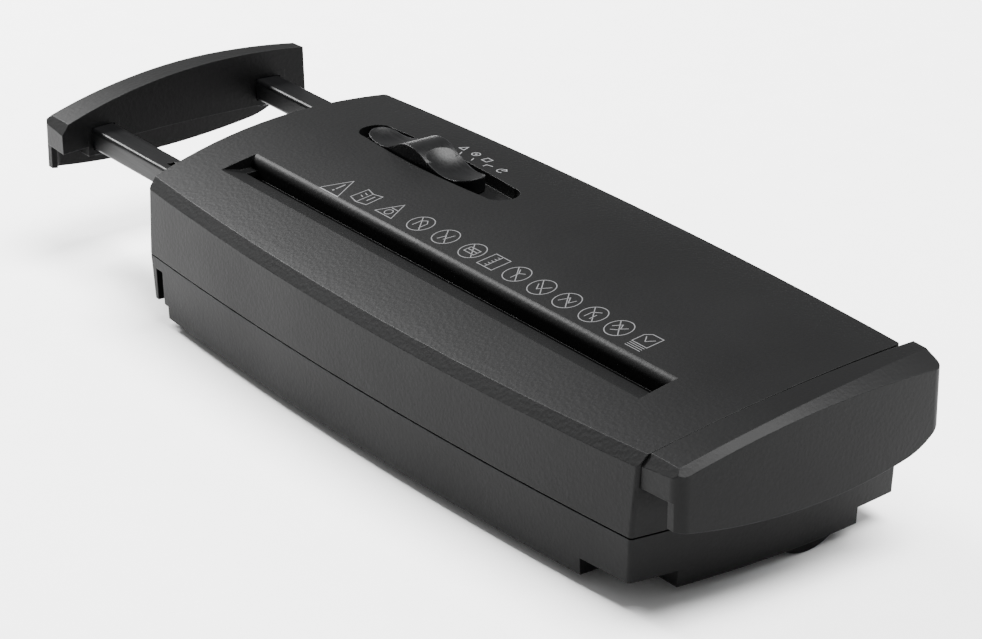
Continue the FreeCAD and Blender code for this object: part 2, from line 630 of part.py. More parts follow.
def exit_guard():
    """Collar around the shred exit, clipped into the floor."""
    passage = exit_box(-EXIT_WALL, -EXIT_WALL, -1, FLOOR_Z + 3)
    collar = exit_box(0, 0, 0, FLOOR_Z + EXIT_FLANGE_T)
    flange = exit_box(EXIT_END_FLANGE, EXIT_FLANGE, FLOOR_Z, FLOOR_Z + EXIT_FLANGE_T)
    return collar.fuse(flange).cut(passage).removeSplitter()


# ---------------------------------------------------------------- caps
def cap_tab(y, z, margin):
    """Tab that hooks into the end wall of the cover, or with a margin the slot for it."""
    x = cap_inner_x(z)
    return block(x - CAP_TAB_REACH - margin, x + END_BOW + CAP_INNER_WALL / 2, y - CAP_TAB_Y / 2 - margin,
                 y + CAP_TAB_Y / 2 + margin, z - margin, z + CAP_TAB_Z + margin)


def cap_inner_x(z):
    """Inner corners of a cap, a seam away from the flared end of the cover."""
    return SEAM_HALF_X + COVER_END_FLARE * (z - SEAM_Z) + CAP_GAP


def cap_outer_x():
    """Outer corners of a cap."""
    return cap_inner_x(ROOF_FRONT_Z) + CAP_WIDTH


def cap_ring(z, inset, inner_inset):
    """Cap outline at height z, drawn in by a wall thickness and by another along the inner edge."""
    inner_x = cap_inner_x(z) + inner_inset
    outer_x = cap_outer_x() - inset
    y0, y1 = CAP_FRONT_Y + inset, CAP_REAR_Y - inset
    mid = (y0 + y1) / 2
    corners = [V(inner_x, y0, z), V(outer_x, y0 + 1.0, z), V(outer_x, y1 - 1.0, z), V(inner_x, y1, z)]
    front = Part.makeLine(corners[0], corners[1])
    outer = arc(corners[1], V(outer_x + CAP_OUTER_BOW, mid, z), corners[2])
    rear = Part.makeLine(corners[2], corners[3])
    inner = arc(corners[3], V(inner_x + END_BOW, mid, z), corners[0])
    return Part.Wire([front, outer, rear, inner])


def cap_block(z0, z1, inset, inner_inset, corner_r):
    """Solid cap outline with rounded outer corners."""
    rings = [cap_ring(z0, inset, inner_inset), cap_ring(z1, inset, inner_inset)]
    solid = Part.makeLoft(rings, True, True)
    return fillet_upright(solid, corner_r, lambda x, y: x > cap_outer_x() - CAP_WIDTH / 2)


def cap_front_bevel():
    """Everything above the bevel along the front of a cap."""
    high = (CAP_FRONT_Y + EDGE_BEVEL_TOP, roof_z(CAP_FRONT_Y + EDGE_BEVEL_TOP))
    low = (CAP_FRONT_Y, roof_z(CAP_FRONT_Y) - EDGE_BEVEL_WALL)
    dy, dz = low[0] - high[0], low[1] - high[1]
    start, end = (high[0] - dy, high[1] - dz), (low[0] + dy, low[1] + dz)
    return prism_x([start, end, (end[0], 80), (start[0], 80)], 50, 250)


def cap_outer_bevel():
    """Everything above the bevel along the outer wall of a cap, which widens to the rear."""
    mid = (CAP_FRONT_Y + CAP_REAR_Y) / 2
    front, middle, rear = CAP_BEVEL
    stations = [(CAP_FRONT_Y, 0, front), (mid, CAP_OUTER_BOW, middle), (CAP_REAR_Y, 0, rear)]
    starts, ends = [], []
    for y, bow, (width, height) in stations:
        top = V(cap_outer_x() + bow - width, y, roof_z(y))
        fall = V(width, 0, -height)
        starts.append(top - fall)
        ends.append(top + fall * 2)
    slope = Part.makeRuledSurface(flank(starts), flank(ends))
    return slope.extrude(V(0, 0, 30))


def cap_skirt_region():
    """Lens-shaped side view of the outer wall."""
    x0 = SEAM_HALF_X + CAP_WIDTH - 6
    front, rear = CAP_FRONT_Y + CAP_SET_IN, CAP_REAR_Y
    mid = (front + rear) / 2
    up = 75
    belly_rear = rear - 15.0
    edges = [
        Part.makeLine(V(x0, rear + 2, up), V(x0, front, up)),
        Part.makeLine(V(x0, front, up), V(x0, front, CAP_SKIRT_FRONT_Z)),
        arc(V(x0, front, CAP_SKIRT_FRONT_Z), V(x0, mid - 6, CAP_SKIRT_MID_Z),
            V(x0, belly_rear, CAP_SKIRT_FRONT_Z)),
        arc(V(x0, belly_rear, CAP_SKIRT_FRONT_Z), V(x0, rear - 5.5, CAP_SKIRT_REAR_Z - 1.8),
            V(x0, rear + 2, CAP_SKIRT_REAR_Z + 6)),
        Part.makeLine(V(x0, rear + 2, CAP_SKIRT_REAR_Z + 6), V(x0, rear + 2, up)),
    ]
    return Part.Face(Part.Wire(edges)).extrude(V(30, 0, 0))


def cap_shell():
    """End cap: crowned top, short walls and a deep outer wall, open underneath."""
    low = CAP_SKIRT_MID_Z - 2
    solid = cap_block(low, 75, 0, 0, CAP_CORNER_R).common(under_roof(50, 250, 0))
    solid = solid.cut(cap_front_bevel()).cut(cap_outer_bevel())
    hollow = cap_block(low - 1, 74, CAP_WALL, CAP_INNER_WALL, CAP_CORNER_R - 1.5)
    shell = solid.cut(hollow.common(under_roof(50, 250, CAP_ROOF_THICK)))
    inner_x = SEAM_HALF_X + CAP_WIDTH - CAP_RIM_WALL
    below_walls = block(50, inner_x, -80, 80, 0, CAP_LIP_Z)
    outside = block(inner_x, 250, -80, 80, 0, CAP_LIP_Z).cut(cap_skirt_region())
    return shell.cut(below_walls).cut(outside).removeSplitter()


def fixed_end_cap():
    """Near cap with the tabs that hold it to the cover."""
    cap = cap_shell()
    for y, z in CAP_TABS:
        cap = cap.fuse(cap_tab(y, z, 0))
    return cap.removeSplitter()


def cap_room():
    """Space of a cap in which the arm sockets may stand."""
    inside = cap_block(20, 74, CAP_WALL / 5, 0, CAP_CORNER_R)
    return inside.common(under_roof(50, 250, CAP_ROOF_THICK - 1.0))


def mirrored(shape):
    """The same shape at the far end, moved out by the extension."""
    flipped = shape.mirror(V(0, 0, 0), V(1, 0, 0))
    flipped.translate(V(-EXTENSION, 0, 0))
    return flipped


def arm_root_x():
    """Inner face of the outer wall at the corners of the far cap."""
    return -(cap_outer_x() - CAP_WALL + EXTENSION)


def extension_end_cap():
    """Far cap with a socket for each arm."""
    cap = mirrored(cap_shell())
    root = arm_root_x()
    for y, top in ARMS:
        socket = arm_bar(root - 2.0, root + CAP_WIDTH, y, top, ARM_SOCKET_WALL)
        cap = cap.fuse(socket.common(mirrored(cap_room())))
        cap = cap.cut(arm_bar(root + ARM_SEAT, root + 20, y, top, BORE_GAP))
        cap = cap.cut(rod_z(arm_screw_x(), y, top - 20, top - ARM_Z / 2, SCREW_R + SCREW_HOLE_GAP))
    return cap.removeSplitter()


def arm_screw_x():
    """Where the screw through an arm socket stands."""
    return arm_root_x() + ARM_SOCKET_X / 2


def arm(y, top, holed):
    """Sliding arm with softened long edges."""
    root = arm_root_x() + ARM_SEAT
    bar = arm_bar(root, arm_end_x(), y, top, 0)
    long_edges = [edge for edge in bar.Edges if edge.BoundBox.XLength > ARM_LENGTH - 1]
    bar = bar.makeFillet(ARM_EDGE_R, long_edges)
    if holed:
        x0 = root + ARM_HOLE_X
        bar = bar.cut(block(x0, x0 + ARM_HOLE_LENGTH, y - ARM_HOLE_WIDTH / 2, y + ARM_HOLE_WIDTH / 2,
                            top - 3, top + 1))
    return bar.cut(rod_z(arm_screw_x(), y, top - ARM_Z - 1, top - 2, SCREW_R))


def arm_end_x():
    """Inner ends of the arms."""
    return arm_root_x() + ARM_SEAT + ARM_LENGTH


def arm_end_stops():
    """Plastic plugs on the inner ends of the arms that stop them leaving the guides."""
    plugs = []
    x0 = arm_end_x()
    for y, top in ARMS:
        plugs.append(block(x0, x0 + STOP_FLANGE, y - ARM_Y / 2, y + ARM_Y / 2, top - ARM_Z, top + STOP_RISE))
    return Part.makeCompound(plugs)


def arm_screws():
    """Screws that hold the arms in the far cap."""
    screws = []
    x = arm_screw_x()
    for y, top in ARMS:
        z0 = top - ARM_Z - ARM_SOCKET_WALL
        head = rod_z(x, y, z0 - SCREW_HEAD_T, z0, SCREW_HEAD_R)
        screws.append(head.fuse(rod_z(x, y, z0, top - 2.4, SCREW_R - PIN_GAP)))
    return Part.makeCompound(screws)


def arm_guide(y, top, open_rear):
    """Channel that carries an arm inside the housing, bridged over at its inner end."""
    x0 = -SEAM_HALF_X + 2 * WALL
    x1 = arm_end_x() - EXTENSION_MORE - STOP_GAP
    low = top - ARM_Z - ARM_CLEAR
    y0, y1 = y - ARM_Y / 2 - ARM_CLEAR, y + ARM_Y / 2 + ARM_CLEAR
    guide = block(x0, x1, y0 - GUIDE_WALL, y1, low - GUIDE_WALL, low)
    bridge_top = top + ARM_CLEAR + GUIDE_WALL
    hung_y = y0 - GUIDE_WALL if open_rear else y1
    hung_top = min(roof_z(hung_y), roof_z(hung_y + GUIDE_WALL)) - ROOF_THICK - GUIDE_ROOF_GAP
    front_top = hung_top if open_rear else bridge_top
    guide = guide.fuse(block(x0, x1, y0 - GUIDE_WALL, y0, low - GUIDE_WALL, front_top))
    bridge_x = x1 - GUIDE_BRIDGE
    guide = guide.fuse(block(bridge_x, x1, y0 - GUIDE_WALL, y1, top + ARM_CLEAR, bridge_top))
    if not open_rear:
        guide = guide.fuse(block(x0, x1, y1, y1 + GUIDE_WALL, low - GUIDE_WALL, hung_top))
    return guide.removeSplitter()


# ---------------------------------------------------------------- cutting unit
def disc_outline(y, z, phase):
    """Cutting disc with shallow hooked notches around its rim."""
    edges = []
    step = 2 * math.pi / DISC_NOTCHES
    notch, low_r = DISC_NOTCH_ANGLE, DISC_R - DISC_NOTCH_DEPTH

    def at(angle, radius):
        return V(0, y + radius * math.cos(angle), z + radius * math.sin(angle))

    for i in range(DISC_NOTCHES):
        a = phase + i * step
        edges.append(Part.makeLine(at(a, DISC_R), at(a, low_r)))
        edges.append(Part.makeLine(at(a, low_r), at(a + notch, DISC_R)))
        edges.append(arc(at(a + notch, DISC_R), at(a + (notch + step) / 2, DISC_R), at(a + step, DISC_R)))
    return Part.Wire(edges)


def cutter_discs(y, first_x, count, phase):
    """All the discs of one shaft."""
    bore = Part.Wire(Part.makeCircle(SHAFT_R + BORE_GAP, V(0, y, CUT_Z), V(1, 0, 0)))
    width = DISC_PITCH / 2 - 2 * DISC_SIDE_GAP
    discs = []
    for i in range(count):
        face = Part.Face([disc_outline(y, CUT_Z, phase), bore])
        disc = face.extrude(V(width, 0, 0))
        disc.translate(V(first_x + i * DISC_PITCH + DISC_SIDE_GAP, 0, 0))
        discs.append(disc)
    return Part.makeCompound(discs)


def cutter_spacers(y, first_x, count):
    """Rings between the discs of one shaft."""
    width = DISC_PITCH / 2
    rings = []
    for i in range(count - 1):
        x0 = first_x + i * DISC_PITCH + width - DISC_SIDE_GAP + SPACER_GAP
        x1 = first_x + (i + 1) * DISC_PITCH + DISC_SIDE_GAP - SPACER_GAP
        rings.append(tube_x(x0, x1, y, CUT_Z, SPACER_R, SHAFT_R + BORE_GAP))
    return Part.makeCompound(rings)


def cutter_shaft(y, end_x):
    """Steel shaft that runs in both side plates."""
    return rod_x(FAR_PLATE_X - SHAFT_OVERHANG, end_x, y, CUT_Z, SHAFT_R)


def rear_cutter_shaft():
    """Rear shaft, stepped down where it passes the gears to reach the gear plate."""
    thick = cutter_shaft(REAR_AXIS[0], GEAR_X[1] + GEAR_W)
    thin = rod_x(GEAR_X[1] + GEAR_W, GEAR_PLATE_X + PLATE_T, REAR_AXIS[0], CUT_Z, SHAFT_R - 1.5)
    return thick.fuse(thin)


def comb(axis_y, side, first_gap_x, count):
    """Stripper comb: a bar with one finger in each gap between the discs of a shaft."""
    near = axis_y + side * (DISC_R + COMB_OFF)
    far = near + side * COMB_BAR
    low, high = CUT_Z - COMB_LOW, CUT_Z + COMB_HIGH
    bar = block(FAR_PLATE_X + PLATE_T, NEAR_PLATE_X, min(near, far), max(near, far), low, high)
    fingers = []
    for i in range(count):
        x0 = first_gap_x + i * DISC_PITCH + COMB_FINGER_GAP
        x1 = x0 + DISC_PITCH / 2 - 2 * COMB_FINGER_GAP
        y0, y1 = sorted((axis_y, near + side * 0.5))
        fingers.append(block(x0, x1, y0, y1, low, high))
    keep_off = rod_x(FAR_PLATE_X, NEAR_PLATE_X, axis_y, CUT_Z, SPACER_R + COMB_FINGER_GAP)
    inner_side = sorted((axis_y, axis_y + side * (SPACER_R + COMB_FINGER_GAP)))
    keep_off = keep_off.fuse(block(FAR_PLATE_X, NEAR_PLATE_X, *inner_side, low - 1, high + 1))
    return bar.multiFuse([finger.cut(keep_off) for finger in fingers]).removeSplitter()


def guide_low_z():
    """Feed guides start just above the discs."""
    return CUT_Z + DISC_R + GUIDE_LIFT


def guide_top_z():
    """Feed guides end just under the foot of the recess."""
    return ramp_foot_z() - THROAT_DEPTH - GUIDE_TOP_GAP


def feed_guide(side):
    """Upright plate on one side of the paper path, notched for the sensor lever."""
    y0 = THROAT_Y - GUIDE_PLATE_T if side < 0 else THROAT_Y + THROAT_WIDTH
    x0, x1 = FAR_PLATE_X + PLATE_T, NEAR_PLATE_X
    plate = block(x0, x1, y0, y0 + GUIDE_PLATE_T, guide_low_z(), guide_top_z())
    slot = block(SENSOR_X - SENSOR_NOTCH / 2, SENSOR_X + SENSOR_NOTCH / 2, y0 - 1, y0 + GUIDE_PLATE_T + 1,
                 guide_low_z() - 1, sensor_axis()[1] + 3.4)
    plate = plate.cut(slot)
    if side > 0:
        ear_y, ear_z = sensor_axis()
        shelf = block(SENSOR_X - 3, SENSOR_X + 9, y0 + 1, ear_y + 10.2, guide_low_z(), sensor_shelf_z())
        plate = plate.fuse(shelf)
        for x in (SENSOR_X - 4.6, SENSOR_X + 2.6):
            ear = block(x, x + 2, y0 + GUIDE_PLATE_T - 0.5, ear_y + 3, ear_z - 3, ear_z + 3)
            plate = plate.fuse(ear)
        plate = plate.cut(rod_x(SENSOR_X - 10, SENSOR_X + 10, ear_y, ear_z, SENSOR_PIN_R))
    return plate.removeSplitter()


def sensor_shelf_z():
    """Shelf of the rear feed guide that the sensor switch stands on."""
    return guide_low_z() + SENSOR_SHELF


def sensor_axis():
    """Pivot of the paper sensor lever."""
    return THROAT_Y + THROAT_WIDTH + GUIDE_PLATE_T + SENSOR_BACK, guide_low_z() + SENSOR_RISE


def sensor_lever():
    """Flag that the paper edge pushes down."""
    y, z = sensor_axis()
    x0, x1 = SENSOR_X - LEVER_HALF_X, SENSOR_X + LEVER_HALF_X
    reach = y - (THROAT_Y - 1.4)
    flag = prism_x([(y, z + 1.6), (y - reach, z - 1.0), (y - reach, z - 3.0), (y, z - 1.6)], x0, x1)
    tail = block(x0, x1, y, y + 7.0, z - 1.2, z + 1.2)
    hub = rod_x(SENSOR_X - 2.3, SENSOR_X + 2.3, y, z, LEVER_HUB_R)
    return hub.multiFuse([flag, tail]).cut(rod_x(SENSOR_X - 5, SENSOR_X + 5, y, z, SENSOR_PIN_R + RUN_GAP))


def sensor_pin():
    """Pivot pin of the sensor lever."""
    y, z = sensor_axis()
    return rod_x(SENSOR_X - 5.2, SENSOR_X + 5.2, y, z, SENSOR_PIN_R)


def sensor_switch():
    """Micro switch below the tail of the sensor lever."""
    y, z = sensor_axis()
    return block(SENSOR_X - 3, SENSOR_X + 9, y + 4.4, y + 10.2, sensor_shelf_z(), z - 2.0)


def side_plate(x0, rear_y):
    """Steel side plate of the cutting unit."""
    front_y = CUT_Y - PLATE_FRONT
    low, high, top = CUT_Z - PLATE_LOW, CUT_Z + PLATE_HIGH, guide_top_z() - 1.0
    neck_front = THROAT_Y - GUIDE_PLATE_T - PLATE_NECK_GAP
    neck_rear = THROAT_Y + THROAT_WIDTH + GUIDE_PLATE_T + 1.0
    outline = [(front_y, low), (rear_y, low), (rear_y, high), (neck_rear, high), (neck_rear, top),
               (neck_front, top), (neck_front, high), (front_y, high)]
    plate = prism_x(outline, x0, x0 + PLATE_T)
    for y in (FRONT_AXIS[0], REAR_AXIS[0]):
        plate = plate.cut(rod_x(x0 - 1, x0 + PLATE_T + 1, y, CUT_Z, BUSH_R))
    for y, z in TIE_RODS:
        plate = plate.cut(rod_x(x0 - 1, x0 + PLATE_T + 1, y, z, TIE_HOLE_R))
    return plate


def tie_rods():
    """Rods with nuts that clamp the side plates together."""
    rods = []
    for y, z in TIE_RODS:
        x0, x1 = FAR_PLATE_X, NEAR_PLATE_X + PLATE_T
        bar = rod_x(x0 + PLATE_T, x1 - PLATE_T, y, z, TIE_R)
        bar = bar.fuse(rod_x(x0 - 2.5, x1 + 2.5, y, z, TIE_HOLE_R - RUN_GAP))
        for nut_x in (x0 - 2.0, x1):
            bar = bar.fuse(rod_x(nut_x, nut_x + 2.0, y, z, TIE_NUT_R))
        rods.append(bar)
    return Part.makeCompound(rods)


def shaft_bushes():
    """Sintered bushes in the side plates."""
    bushes = []
    for x0 in (FAR_PLATE_X, NEAR_PLATE_X):
        for y in (FRONT_AXIS[0], REAR_AXIS[0]):
            bushes.append(tube_x(x0, x0 + PLATE_T, y, CUT_Z, BUSH_R, SHAFT_R + RUN_GAP))
    return Part.makeCompound(bushes)


# ---------------------------------------------------------------- gears
def involute(angle):
    """Involute function."""
    return math.tan(angle) - angle


def gear_outline(teeth, module, centre, phase):
    """Outline of an involute spur gear with a tooth centred on the phase angle."""
    pitch_r = teeth * module / 2
    base_r = pitch_r * math.cos(PRESSURE_ANGLE)
    tip_r = pitch_r + TIP_FACTOR * module
    root_r = pitch_r - ROOT_FACTOR * module
    half_tooth = math.pi / (2 * teeth) - BACKLASH / (4 * pitch_r) + involute(PRESSURE_ANGLE)
    low_r = max(base_r, root_r)
    radii = [low_r + (tip_r - low_r) * k / 3 for k in range(4)]

    def at(angle, radius):
        return V(0, centre[0] + radius * math.cos(angle), centre[1] + radius * math.sin(angle))

    def half_angle(radius):
        return half_tooth - involute(math.acos(min(1, base_r / radius)))

    edges = []
    step = 2 * math.pi / teeth
    for i in range(teeth):
        a = phase + i * step
        rise = [at(a - half_angle(r), r) for r in radii]
        fall = [at(a + half_angle(r), r) for r in reversed(radii)]
        if root_r < low_r:
            edges.append(Part.makeLine(at(a - half_angle(low_r), root_r), rise[0]))
        edges.append(flank(rise))
        edges.append(arc(rise[-1], at(a, tip_r), fall[0]))
        edges.append(flank(fall))
        if root_r < low_r:
            edges.append(Part.makeLine(fall[-1], at(a + half_angle(low_r), root_r)))
        foot = min(root_r, low_r)
        edges.append(arc(at(a + half_angle(low_r), foot), at(a + step / 2, foot),
                         at(a + step - half_angle(low_r), foot)))
    return Part.Wire(edges)


def flank(points):
    """Smooth curve through its points."""
    curve = Part.BSplineCurve()
    curve.interpolate(points)
    return curve.toShape()


def gear(teeth, module, centre, phase, x0, bore_r):
    """Spur gear, GEAR_W wide, starting at x0."""
    bore = Part.Wire(Part.makeCircle(bore_r, V(0, *centre), V(1, 0, 0)))
    solid = Part.Face([gear_outline(teeth, module, centre, phase), bore]).extrude(V(GEAR_W, 0, 0))
    solid.translate(V(x0, 0, 0))
    return solid


def pitch_radius(teeth, module):
    """Pitch radius of a gear."""
    return teeth * module / 2


STAGE1_SPAN = pitch_radius(STAGE1_BIG + STAGE1_SMALL, STAGE1_MODULE)
STAGE2_SPAN = pitch_radius(STAGE2_BIG + STAGE2_SMALL, STAGE2_MODULE)
STAGE3_SPAN = pitch_radius(DRIVE_TEETH + STAGE3_TEETH, STAGE3_MODULE)
AXLE_A = (MOTOR_Y, MOTOR_Z + STAGE1_SPAN)


def second_axle():
    """Axle that stands one gear span from axle A and one from the rear shaft, above both."""
    dy, dz = AXLE_A[0] - REAR_AXIS[0], AXLE_A[1] - REAR_AXIS[1]
    span = math.hypot(dy, dz)
    along = (STAGE3_SPAN ** 2 - STAGE2_SPAN ** 2 + span ** 2) / (2 * span)
    off = math.sqrt(STAGE3_SPAN ** 2 - along ** 2)
    return (REAR_AXIS[0] + (along * dy - off * dz) / span, REAR_AXIS[1] + (along * dz + off * dy) / span)


AXLE_B = second_axle()


def towards(a, b):
    """Direction angle from one axis to another."""
    return math.atan2(b[1] - a[1], b[0] - a[0])


def tooth_at(a, b):
    """Phase that points a tooth of the gear on a at axis b."""
    return towards(a, b)


def gap_at(a, b, teeth):
    """Phase that points a gap of the gear on a at axis b."""
    return towards(a, b) + math.pi / teeth


def gear_a():
    """First reduction gear, driven by the motor pinion."""
    big = gear(STAGE1_BIG, STAGE1_MODULE, AXLE_A, gap_at(AXLE_A, MOTOR_AXIS, STAGE1_BIG),
               GEAR_X[3], AXLE_R + RUN_GAP)
    small = gear(STAGE2_SMALL, STAGE2_MODULE, AXLE_A, tooth_at(AXLE_A, AXLE_B), GEAR_X[2], AXLE_R + RUN_GAP)
    hub = tube_x(GEAR_X[2] + GEAR_W - 0.01, GEAR_X[3] + 0.01, *AXLE_A, AXLE_R + HUB_WALL, AXLE_R + RUN_GAP)
    return big.multiFuse([hub, small]).removeSplitter()


def gear_b():
    """Second reduction gear, which drives the rear cutter."""
    big = gear(STAGE2_BIG, STAGE2_MODULE, AXLE_B, gap_at(AXLE_B, AXLE_A, STAGE2_BIG),
               GEAR_X[2], AXLE_R + RUN_GAP)
    small = gear(STAGE3_TEETH, STAGE3_MODULE, AXLE_B, tooth_at(AXLE_B, REAR_AXIS),
                 GEAR_X[1], AXLE_R + RUN_GAP)
    hub = tube_x(GEAR_X[1] + GEAR_W - 0.01, GEAR_X[2] + 0.01, *AXLE_B, AXLE_R + HUB_WALL, AXLE_R + RUN_GAP)
    return big.multiFuse([hub, small]).removeSplitter()


def drive_gear():
    """Gear on the rear cutter shaft."""
    return gear(DRIVE_TEETH, STAGE3_MODULE, REAR_AXIS, gap_at(REAR_AXIS, AXLE_B, DRIVE_TEETH),
                GEAR_X[1], SHAFT_R + BORE_GAP)


def sync_gear(axis, other, toothed):
    """One of the equal gears that turn the cutters against each other."""
    phase = tooth_at(axis, other) if toothed else gap_at(axis, other, SYNC_TEETH)
    return gear(SYNC_TEETH, SYNC_MODULE, axis, phase, GEAR_X[0], SHAFT_R + BORE_GAP)


def motor_pinion():
    """Pinion on the motor shaft."""
    return gear(STAGE1_SMALL, STAGE1_MODULE, MOTOR_AXIS, tooth_at(MOTOR_AXIS, AXLE_A),
                GEAR_X[3], MOTOR_SHAFT_R + BORE_GAP)


def near_side_plate():
    """Side plate that also carries the motor and the gear axles."""
    plate = side_plate(NEAR_PLATE_X, STANDOFFS[0][0] + 3.6)
    x0, x1 = NEAR_PLATE_X, NEAR_PLATE_X + PLATE_T
    front, rear, top = AXLE_B[0] - 6, MOTOR_Y + 8, AXLE_A[1] + 6
    plate = plate.fuse(block(x0, x1, front, rear, CUT_Z + 12, top))
    plate = plate.cut(rod_x(x0 - 1, x1 + 1, *MOTOR_AXIS, MOTOR_NOSE_R))
    for axle in (AXLE_A, AXLE_B):
        plate = plate.cut(rod_x(x0 - 1, x1 + 1, *axle, AXLE_R))
    for y, z in TIE_RODS:
        plate = plate.cut(rod_x(x0 - 1, x1 + 1, y, z, TIE_HOLE_R))
    for y, z in STANDOFFS:
        plate = plate.cut(rod_x(x0 - 1, x1 + 1, y, z, STANDOFF_PIN_R))
    return plate.removeSplitter()


def gear_plate():
    """Outer plate of the gearbox."""
    (rear, rear_z), (mid, mid_z), (front, front_z) = STANDOFFS
    top = front_z + 4.5
    outline = [(front - 4, front_z - 5.5), (front - 4, top), (rear + 3.5, top), (rear + 3.5, rear_z - 4),
               (mid + 5, mid_z - 3.4), (REAR_AXIS[0] - 4.4, mid_z - 3.4), (REAR_AXIS[0] - 4.4, CUT_Z + 4.5)]
    plate = prism_x(outline, GEAR_PLATE_X, GEAR_PLATE_X + PLATE_T)
    holes = [(AXLE_A, AXLE_R), (AXLE_B, AXLE_R), (REAR_AXIS, SHAFT_R - 1.5 + RUN_GAP),
             (MOTOR_AXIS, MOTOR_SHAFT_R + 1.0)]
    holes += [(place, STANDOFF_PIN_R) for place in STANDOFFS]
    for centre, radius in holes:
        plate = plate.cut(rod_x(GEAR_PLATE_X - 1, GEAR_PLATE_X + PLATE_T + 1, *centre, radius))
    return plate


def gear_standoffs():
    """Spacers between the near side plate and the gear plate."""
    x0, x1 = NEAR_PLATE_X + PLATE_T, GEAR_PLATE_X
    spacers = []
    for y, z in STANDOFFS:
        body = rod_x(x0, x1, y, z, STANDOFF_R)
        spacers.append(body.fuse(rod_x(x0 - PLATE_T, x1 + PLATE_T, y, z, STANDOFF_PIN_R - PIN_GAP)))
    return Part.makeCompound(spacers)


def gear_axles():
    """Fixed pins of the two reduction gears."""
    x0, x1 = NEAR_PLATE_X, GEAR_PLATE_X + PLATE_T
    return Part.makeCompound([rod_x(x0, x1, *AXLE_A, AXLE_R), rod_x(x0, x1, *AXLE_B, AXLE_R)])


def motor_case():
    """Round motor with a rear end bell."""
    x1 = NEAR_PLATE_X
    x0 = x1 - MOTOR_LENGTH
    body = rod_x(x0 + MOTOR_BELL, x1, *MOTOR_AXIS, MOTOR_R)
    body = body.fuse(rod_x(x0, x0 + MOTOR_BELL, *MOTOR_AXIS, MOTOR_R - 1.5))
    return body.cut(rod_x(x0 + MOTOR_BELL + 2, x1 + 1, *MOTOR_AXIS, MOTOR_SHAFT_R + RUN_GAP))


def motor_shaft():
    """Motor shaft that carries the pinion."""
    x0 = NEAR_PLATE_X - MOTOR_LENGTH + MOTOR_BELL + 2.2
    return rod_x(x0, GEAR_X[3] + GEAR_W, *MOTOR_AXIS, MOTOR_SHAFT_R)


# ---------------------------------------------------------------- electrics
def control_board():
    """Circuit board on the base."""
    return block(BOARD_X0, BOARD_X1, BOARD_Y0, BOARD_Y1, BOARD_Z, BOARD_Z + BOARD_T)


def on_board(x0, y0, size):
    """Box-shaped component standing on the control board."""
    top = BOARD_Z + BOARD_T
    return block(x0, x0 + size[0], y0, y0 + size[1], top, top + size[2])


def board_relay():
    """Motor relay."""
    return on_board(BOARD_X0 + 8, BOARD_Y0 + 8, RELAY)


def board_capacitor():
    """Smoothing capacitor."""
    top = BOARD_Z + BOARD_T
    return rod_z(BOARD_X0 + 42, BOARD_Y0 + 16, top, top + CAPACITOR_HEIGHT, CAPACITOR_R)


def board_terminals():
    """Screw terminals for mains and motor leads."""
    blocks = []
    y0 = BOARD_Y1 - TERMINAL[1] - 3
    top = BOARD_Z + BOARD_T + TERMINAL[2]
    for i in range(TERMINAL_COUNT):
        x0 = BOARD_X1 - 38 + i * TERMINAL_PITCH
        screw_hole = rod_z(x0 + TERMINAL[0] / 2, y0 + TERMINAL[1] / 2, top - 4, top + 1, TERMINAL_SCREW_R)
        blocks.append(on_board(x0, y0, TERMINAL).cut(screw_hole))
    return Part.makeCompound(blocks)


def cord_gland():
    """Grommet in the rear wall where the mains cord comes in."""
    wall_y = SEAM_REAR_Y + REAR_BOW * (1 - (GLAND_X / SEAM_HALF_X) ** 2)
    start = V(GLAND_X, wall_y - WALL - 4, GLAND_Z)
    along = V(0, 1, 0)
    sleeve = Part.makeCylinder(GLAND_R - RUN_GAP, WALL + 4.6, start, along)
    collar = Part.makeCylinder(GLAND_R + 1.6, 2.0, start, along)
    return sleeve.fuse(collar).cut(Part.makeCylinder(CORD_R, 30, start - V(0, 5, 0), along))


